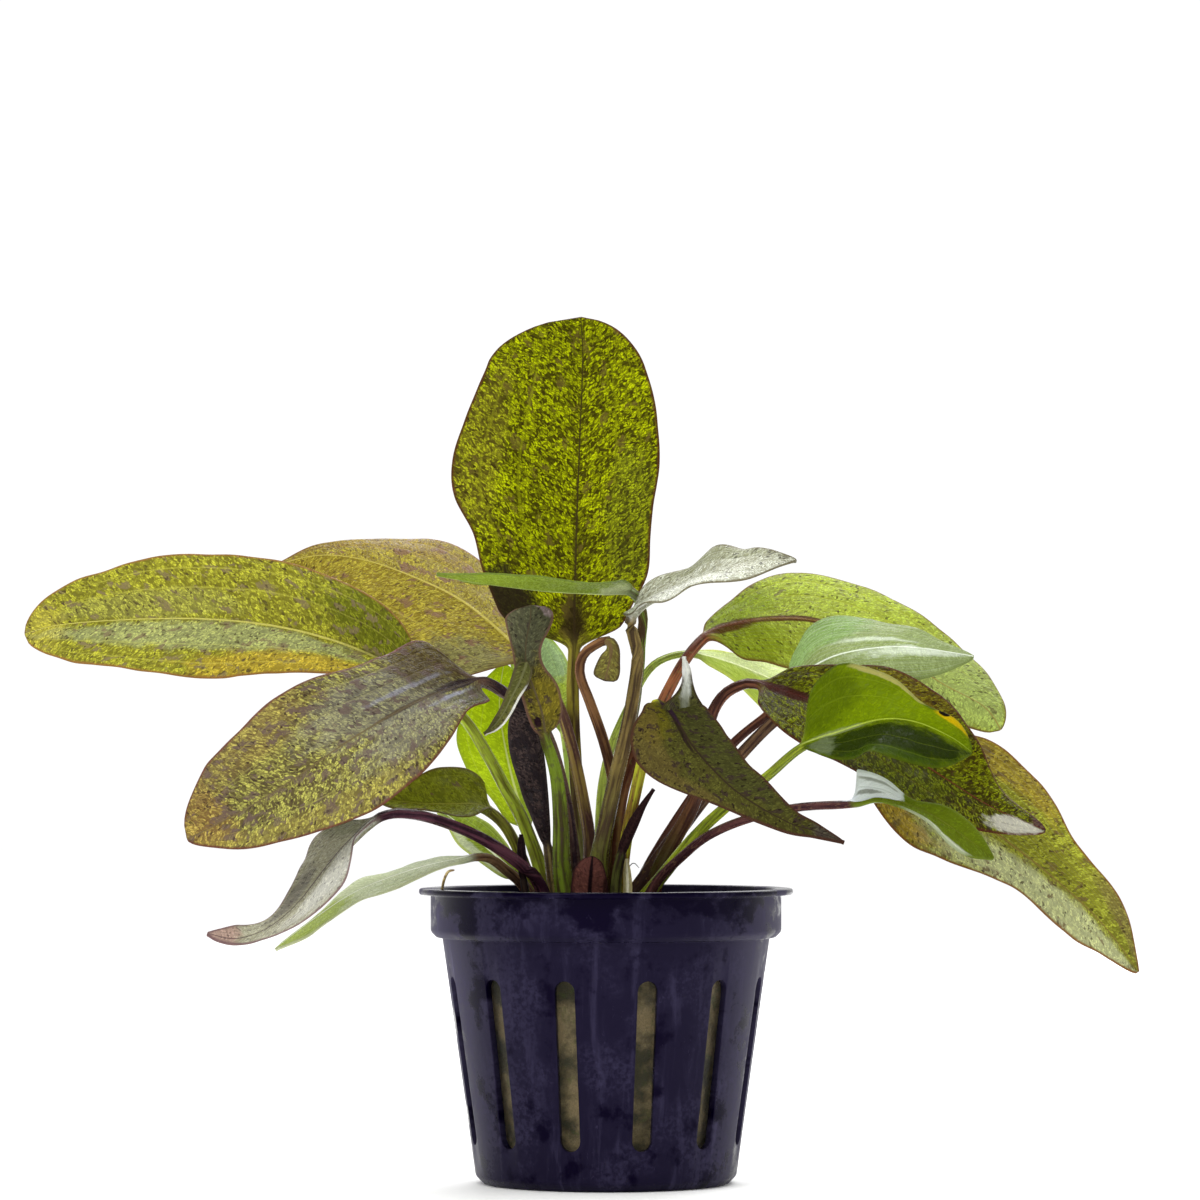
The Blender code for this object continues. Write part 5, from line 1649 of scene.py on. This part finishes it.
def slots_cutter():
    """The wall's round-ended slots as one closed mesh of radial bars."""
    half = SLOT_WIDTH / 2
    outline = []
    for centre, start in ((SLOT_TOP - half, 0.0), (SLOT_BOTTOM + half, math.pi)):
        for k in range(SLOT_END_STEPS + 1):
            angle = start + math.pi * k / SLOT_END_STEPS
            outline.append((half * math.cos(angle), centre + half * math.sin(angle)))
    count = len(outline)
    vertices, faces = [], []
    for slot in range(SLOT_COUNT):
        angle = math.tau * (slot + 0.5) / SLOT_COUNT
        outward = Vector((math.cos(angle), math.sin(angle), 0.0))
        aside = Vector((-math.sin(angle), math.cos(angle), 0.0))
        first = len(vertices)
        for distance in (FOOT_RADIUS - WALL - CUT_OVERSHOOT, COLLAR_RADIUS + CUT_OVERSHOOT):
            vertices += [tuple(outward * distance + aside * s + Vector((0.0, 0.0, z))) for s, z in outline]
        faces += ring_faces(first, first + count, count)
        faces.append(tuple(reversed(range(first, first + count))))
        faces.append(tuple(range(first + count, first + 2 * count)))
    return bpy.data.objects.new("slots", closed_mesh("slots", vertices, faces))


def add_pot(settings):
    """The thin-walled net pot: flat foot, slotted tapered wall, straight collar and a soft flat lip."""
    under = POT_HEIGHT - LIP_THICKNESS
    shoulder = under - COLLAR_HEIGHT
    inside = COLLAR_RADIUS - WALL
    foot = FOOT_RADIUS - FOOT_CHAMFER
    corners = (
        (0.0, FOOT_HOLLOW, 0.0),
        (foot - FOOT_RING, FOOT_HOLLOW, CRISP_EDGE),
        (foot - FOOT_RING + FOOT_HOLLOW, 0.0, CRISP_EDGE),
        (foot, 0.0, LIP_EDGE),
        (FOOT_RADIUS, FOOT_CHAMFER, LIP_EDGE),
        (SHOULDER_RADIUS, shoulder, CRISP_EDGE),
        (COLLAR_RADIUS - COLLAR_STEP, shoulder, CRISP_EDGE),
        (COLLAR_RADIUS, shoulder + COLLAR_STEP, LIP_EDGE),
        (COLLAR_RADIUS, under, CRISP_EDGE),
        (LIP_RADIUS, under, LIP_EDGE),
        (LIP_RADIUS, POT_HEIGHT, LIP_EDGE),
        (inside, POT_HEIGHT, LIP_EDGE),
        (inside, shoulder + WALL, CRISP_EDGE),
        (wall_radius(shoulder) - WALL, shoulder + WALL / 2, CRISP_EDGE),
        (FOOT_RADIUS - WALL, FLOOR + WALL, LIP_EDGE),
        (FOOT_RADIUS - 2 * WALL, FLOOR, CRISP_EDGE),
        (0.0, FLOOR, 0.0),
    )
    mesh = turned_mesh("net_pot_shell", rounded(corners), POT_SIDES)
    shell = link(bpy.data.objects.new("net_pot_shell", mesh))
    cutter = link(slots_cutter())
    cut = shell.modifiers.new("slots", "BOOLEAN")
    cut.operation = "DIFFERENCE"
    cut.solver = "EXACT"
    cut.object = cutter
    edge = shell.modifiers.new("edges", "BEVEL")
    edge.width = SLOT_EDGE
    edge.segments = 2
    edge.limit_method = "ANGLE"
    edge.angle_limit = math.radians(BEVEL_FROM)
    finished = bpy.data.meshes.new_from_object(shell.evaluated_get(bpy.context.evaluated_depsgraph_get()))
    for thing in (shell, cutter):
        bpy.data.objects.remove(thing)
    finished.shade_smooth()
    finished.set_sharp_from_angle(angle=math.radians(SHARP_EDGE))
    place_piece("net_pot_shell", finished, plastic_material(settings), "pot_plastic", "pot")


def wall_radius(height):
    """The pot wall's outer radius at a height."""
    climb = POT_HEIGHT - LIP_THICKNESS - COLLAR_HEIGHT
    return FOOT_RADIUS + (SHOULDER_RADIUS - FOOT_RADIUS) * min(height / climb, 1.0)


def wool_top(x, y):
    """Height of the wool's matted top at a place, in metres."""
    bumps = sum(height * float(ripple(x / reach, y / reach, seed)) for height, reach, seed in WOOL_BUMPS)
    edge = math.hypot(x, y) / wall_radius(WOOL_TOP)
    return WOOL_TOP + (bumps - WOOL_SLUMP * edge ** 6) * MM


def wool_strand(chance, top_radius):
    """One loose strand that lies over the wool, as its points and its radius."""
    angle, far = chance.uniform(0, math.tau), (top_radius - 1.5 * MM) * math.sqrt(chance.uniform())
    x, y = polar(far, angle)
    heading, bend = chance.uniform(0, math.tau), chance.uniform(-STRAND_BEND, STRAND_BEND)
    length, lift = chance.uniform(*STRAND_LENGTHS) * MM, chance.uniform(*STRAND_LIFTS) * MM
    limit = top_radius - 0.2 * MM
    points = []
    for k in range(STRAND_STEPS + 1):
        t = k / STRAND_STEPS
        px = x + math.cos(heading + bend * t) * length * (t - 0.5)
        py = y + math.sin(heading + bend * t) * length * (t - 0.5)
        reach = math.hypot(px, py)
        if reach > limit:
            px, py = px * limit / reach, py * limit / reach
        points.append(Vector((px, py, wool_top(px, py) + lift * math.sin(math.pi * t) + 0.03 * MM)))
    return points, chance.uniform(*STRAND_RADII) * MM


def add_wool(settings):
    """The matted plug in the pot, and the loose strands over its top."""
    top_radius = wall_radius(WOOL_TOP) - WALL - WOOL_CLEARANCE
    profile = subdivided((
        (0.0, FLOOR + GAP),
        (FOOT_RADIUS - 2 * WALL - GAP, FLOOR + GAP),
        (top_radius, WOOL_TOP),
        (0.0, WOOL_TOP),
    ), 0.9 * MM)

    def matted(angle, radius, height):
        if height >= WOOL_TOP:
            return radius, wool_top(*polar(radius, angle))
        rough = float(ripple(angle * 14, height / (1.6 * MM), 73)) * WOOL_ROUGHNESS
        inward = WOOL_ROUGHNESS if radius > FOOT_RADIUS - 3 * WALL else 0.0
        return max(radius - inward + rough, 0.0), height

    mesh = turned_mesh("wool_plug", profile, SOFT_SIDES, matted)
    matted_wool = wool_material(settings, "matted_wool", 1.0)
    place_piece("wool_plug", mesh, matted_wool, "mineral_wool", "mineral_wool")

    chance = np.random.default_rng(STRAND_SEED)
    strands = [wool_strand(chance, top_radius) for _ in range(settings.strand_count)]
    mesh = tubes_mesh("wool_strands", strands)
    place_piece("wool_strands", mesh, wool_material(settings, "pale_wool_strands", 1.35), "mineral_wool")


def add_crown():
    """The squat crown: a lumpy disc with the rings of lost leaves, bedded in the wool."""
    bottom = WOOL_TOP - 1.0 * MM
    top = WOOL_TOP + GAP + CROWN_HEIGHT
    profile = subdivided(rounded((
        (0.0, bottom, 0.0),
        (CROWN_RADIUS * 0.86, bottom, 0.4 * MM),
        (CROWN_RADIUS, bottom + 1.6 * MM, 0.5 * MM),
        (CROWN_RADIUS * 0.9, top - 0.5 * MM, 0.4 * MM),
        (CROWN_RADIUS * 0.6, top, 0.5 * MM),
        (0.0, top + 0.1 * MM, 0.0),
    )), 0.45 * MM)

    def lumpy(angle, radius, height):
        turn = math.cos(angle) * 3.0, math.sin(angle) * 3.0
        lumps = float(ripple(turn[0] + radius / (2 * MM), turn[1] + 9.0, 81))
        rings = math.sin(radius / CROWN_RING)
        share = min(radius / CROWN_RADIUS * 2.0, 1.0)
        rise = (CROWN_LUMPS * lumps + CROWN_RIDGES * rings) * share * MM
        return radius * (1.0 + 0.05 * lumps), height + rise

    mesh = turned_mesh("ringed_crown", profile, SOFT_SIDES, lumpy)
    for vertex in mesh.vertices:
        vertex.co += CROWN_CENTRE
    place_piece("ringed_crown", mesh, crown_material(), "crown_tissue", "crown")


def add_fibres():
    """A straw that lies over the pot's rim on the left, and a dark hair between the stalks."""
    for name, points, radius, pale, dark in FIBRES:
        knots = [Vector(p) * MM for p in points]
        padded = [knots[0], *knots, knots[-1]]
        line = [
            spline_point(*padded[i:i + 4], k / FIBRE_STEPS)
            for i in range(len(knots) - 1) for k in range(FIBRE_STEPS)
        ]
        mesh = tubes_mesh(name, [(line + knots[-1:], radius * MM)], sides=8)
        place_piece(name, mesh, fibre_material(name + "_skin", pale, dark), "dry_sheath")


def add_leaves(settings, *finishes):
    """The leaves of the given finishes, each over its own solid, and their loose folds."""
    for number, leaf in enumerate(LEAVES + FOLDS):
        if leaf.finish not in finishes:
            continue
        seed = 11 + 3 * number
        points, facts = leaf_grid(leaf, settings, seed)
        name = leaf.name + "_dressed"
        nodes = ()
        if leaf in LEAVES:
            nodes = (leaf.name,)
            foot = points[:1] - np.array((0.0, 0.0, ROOT_DEPTH))  # carried down into the crown
            points = np.concatenate([foot, points])
            facts = {key: np.concatenate([rows[:1], rows]) for key, rows in facts.items()}
        material = leaf_material(leaf.name, LOOKS[leaf.name], seed, settings.tone)
        place_piece(name, grid_mesh(name, points, facts), material, leaf.finish, *nodes)


def look_from(thing, place):
    """Stands a light or the camera at a place, turned towards the plant."""
    thing.location = place
    thing.rotation_euler = (AIM - place).to_track_quat("-Z", "Y").to_euler()
    return link(thing)


def add_stage(settings):
    """A pale round floor, soft white light from all round, a soft key light and light through the leaves."""
    ring = [(*polar(STAGE_RADIUS, math.tau * k / STAGE_SIDES), 0.0) for k in range(STAGE_SIDES)]
    faces = [(0, 1 + k, 1 + (k + 1) % STAGE_SIDES) for k in range(STAGE_SIDES)]
    mesh = bpy.data.meshes.new("pale_floor")
    mesh.from_pydata([(0.0, 0.0, 0.0)] + ring, [], faces)
    mesh.materials.append(floor_material(tuple(settings.floor)))
    floor = link(bpy.data.objects.new("pale_floor", mesh))

    world = bpy.data.worlds.new("studio")
    world.use_nodes = True
    background = world.node_tree.nodes["Background"]
    background.inputs["Color"].default_value = (1.0, 1.0, 1.0, 1.0)
    background.inputs["Strength"].default_value = settings.sky
    bpy.context.scene.world = world
    for name, place, power, size in (
        ("key_light", KEY_PLACE, settings.key, KEY_SIZE),
        ("back_light", BACK_PLACE, settings.back, BACK_SIZE),
    ):
        lamp = bpy.data.lights.new(name, "AREA")
        lamp.energy = power
        lamp.size = size
        light = look_from(bpy.data.objects.new(name, lamp), place)

    camera = look_from(bpy.data.objects.new("camera", bpy.data.cameras.new("camera")), EYE)
    camera.data.lens = settings.lens
    camera.data.clip_start = NEAREST_SEEN
    bpy.context.scene.camera = camera
    bpy.context.scene.view_settings.view_transform = "Standard"


class PlantOperator:
    """What all operators of the plant share."""

    bl_options = {"REGISTER", "UNDO"}


class ECHINODORUS_OT_speckled_leaves(PlantOperator, bpy.types.Operator):
    """Add the leaves with flecks of bright and dark"""

    bl_idname = "echinodorus.speckled_leaves"
    bl_label = "Speckled leaves"

    def execute(self, context):
        add_leaves(context.scene.echinodorus_leaves, "speckled_leaf", "russet_leaf")
        return {"FINISHED"}


class ECHINODORUS_OT_green_leaves(PlantOperator, bpy.types.Operator):
    """Add the plain green and the young lime leaves"""

    bl_idname = "echinodorus.green_leaves"
    bl_label = "Green leaves"

    def execute(self, context):
        add_leaves(context.scene.echinodorus_leaves, "green_leaf", "lime_leaf")
        return {"FINISHED"}


class ECHINODORUS_OT_silvery_leaves(PlantOperator, bpy.types.Operator):
    """Add the leaves with a pale bloom"""

    bl_idname = "echinodorus.silvery_leaves"
    bl_label = "Silvery leaves"

    def execute(self, context):
        add_leaves(context.scene.echinodorus_leaves, "silvery_leaf")
        return {"FINISHED"}


class ECHINODORUS_OT_dry_leaves(PlantOperator, bpy.types.Operator):
    """Add the withered leaves, the dry sheaths and the bracts"""

    bl_idname = "echinodorus.dry_leaves"
    bl_label = "Dry leaves"

    def execute(self, context):
        add_leaves(context.scene.echinodorus_leaves, "withered_leaf", "dry_sheath")
        return {"FINISHED"}


class ECHINODORUS_OT_crown(PlantOperator, bpy.types.Operator):
    """Add the crown and the loose fibres beside it"""

    bl_idname = "echinodorus.crown"
    bl_label = "Crown"

    def execute(self, context):
        add_crown()
        add_fibres()
        return {"FINISHED"}


class ECHINODORUS_OT_wool(PlantOperator, bpy.types.Operator):
    """Add the mineral wool and its loose strands"""

    bl_idname = "echinodorus.wool"
    bl_label = "Mineral wool"

    def execute(self, context):
        add_wool(context.scene.echinodorus_pot)
        return {"FINISHED"}


class ECHINODORUS_OT_pot(PlantOperator, bpy.types.Operator):
    """Add the net pot"""

    bl_idname = "echinodorus.pot"
    bl_label = "Net pot"

    def execute(self, context):
        add_pot(context.scene.echinodorus_pot)
        return {"FINISHED"}


class ECHINODORUS_OT_stage(PlantOperator, bpy.types.Operator):
    """Add the floor, the lights and the camera"""

    bl_idname = "echinodorus.stage"
    bl_label = "Stage"

    def execute(self, context):
        add_stage(context.scene.echinodorus_stage)
        return {"FINISHED"}


OPERATORS = (
    ECHINODORUS_OT_pot, ECHINODORUS_OT_wool, ECHINODORUS_OT_crown, ECHINODORUS_OT_speckled_leaves,
    ECHINODORUS_OT_green_leaves, ECHINODORUS_OT_silvery_leaves, ECHINODORUS_OT_dry_leaves,
    ECHINODORUS_OT_stage,
)
GROUPS = {
    "echinodorus_leaves": LeafSettings,
    "echinodorus_pot": PotSettings,
    "echinodorus_stage": StageSettings,
}


class ECHINODORUS_PT_plant(bpy.types.Panel):
    """Lists the plant's pieces and their sizes and colours"""

    bl_idname = "ECHINODORUS_PT_plant"
    bl_label = "Echinodorus"
    bl_space_type = "VIEW_3D"
    bl_region_type = "UI"
    bl_category = "Echinodorus"

    def draw(self, context):
        for key, group in GROUPS.items():
            box = self.layout.box()
            for field in group.__annotations__:
                box.prop(getattr(context.scene, key), field)
        for operator in OPERATORS:
            self.layout.operator(operator.bl_idname)


KINDS = (*GROUPS.values(), *OPERATORS, ECHINODORUS_PT_plant)


def register():
    for kind in KINDS:
        bpy.utils.register_class(kind)
    for key, group in GROUPS.items():
        setattr(bpy.types.Scene, key, bpy.props.PointerProperty(type=group))


def unregister():
    for key in GROUPS:
        delattr(bpy.types.Scene, key)
    for kind in reversed(KINDS):
        bpy.utils.unregister_class(kind)


def main():
    register()
    for operator in OPERATORS:
        family, action = operator.bl_idname.split(".")
        getattr(getattr(bpy.ops, family), action)()


if __name__ == "__main__":
    main()
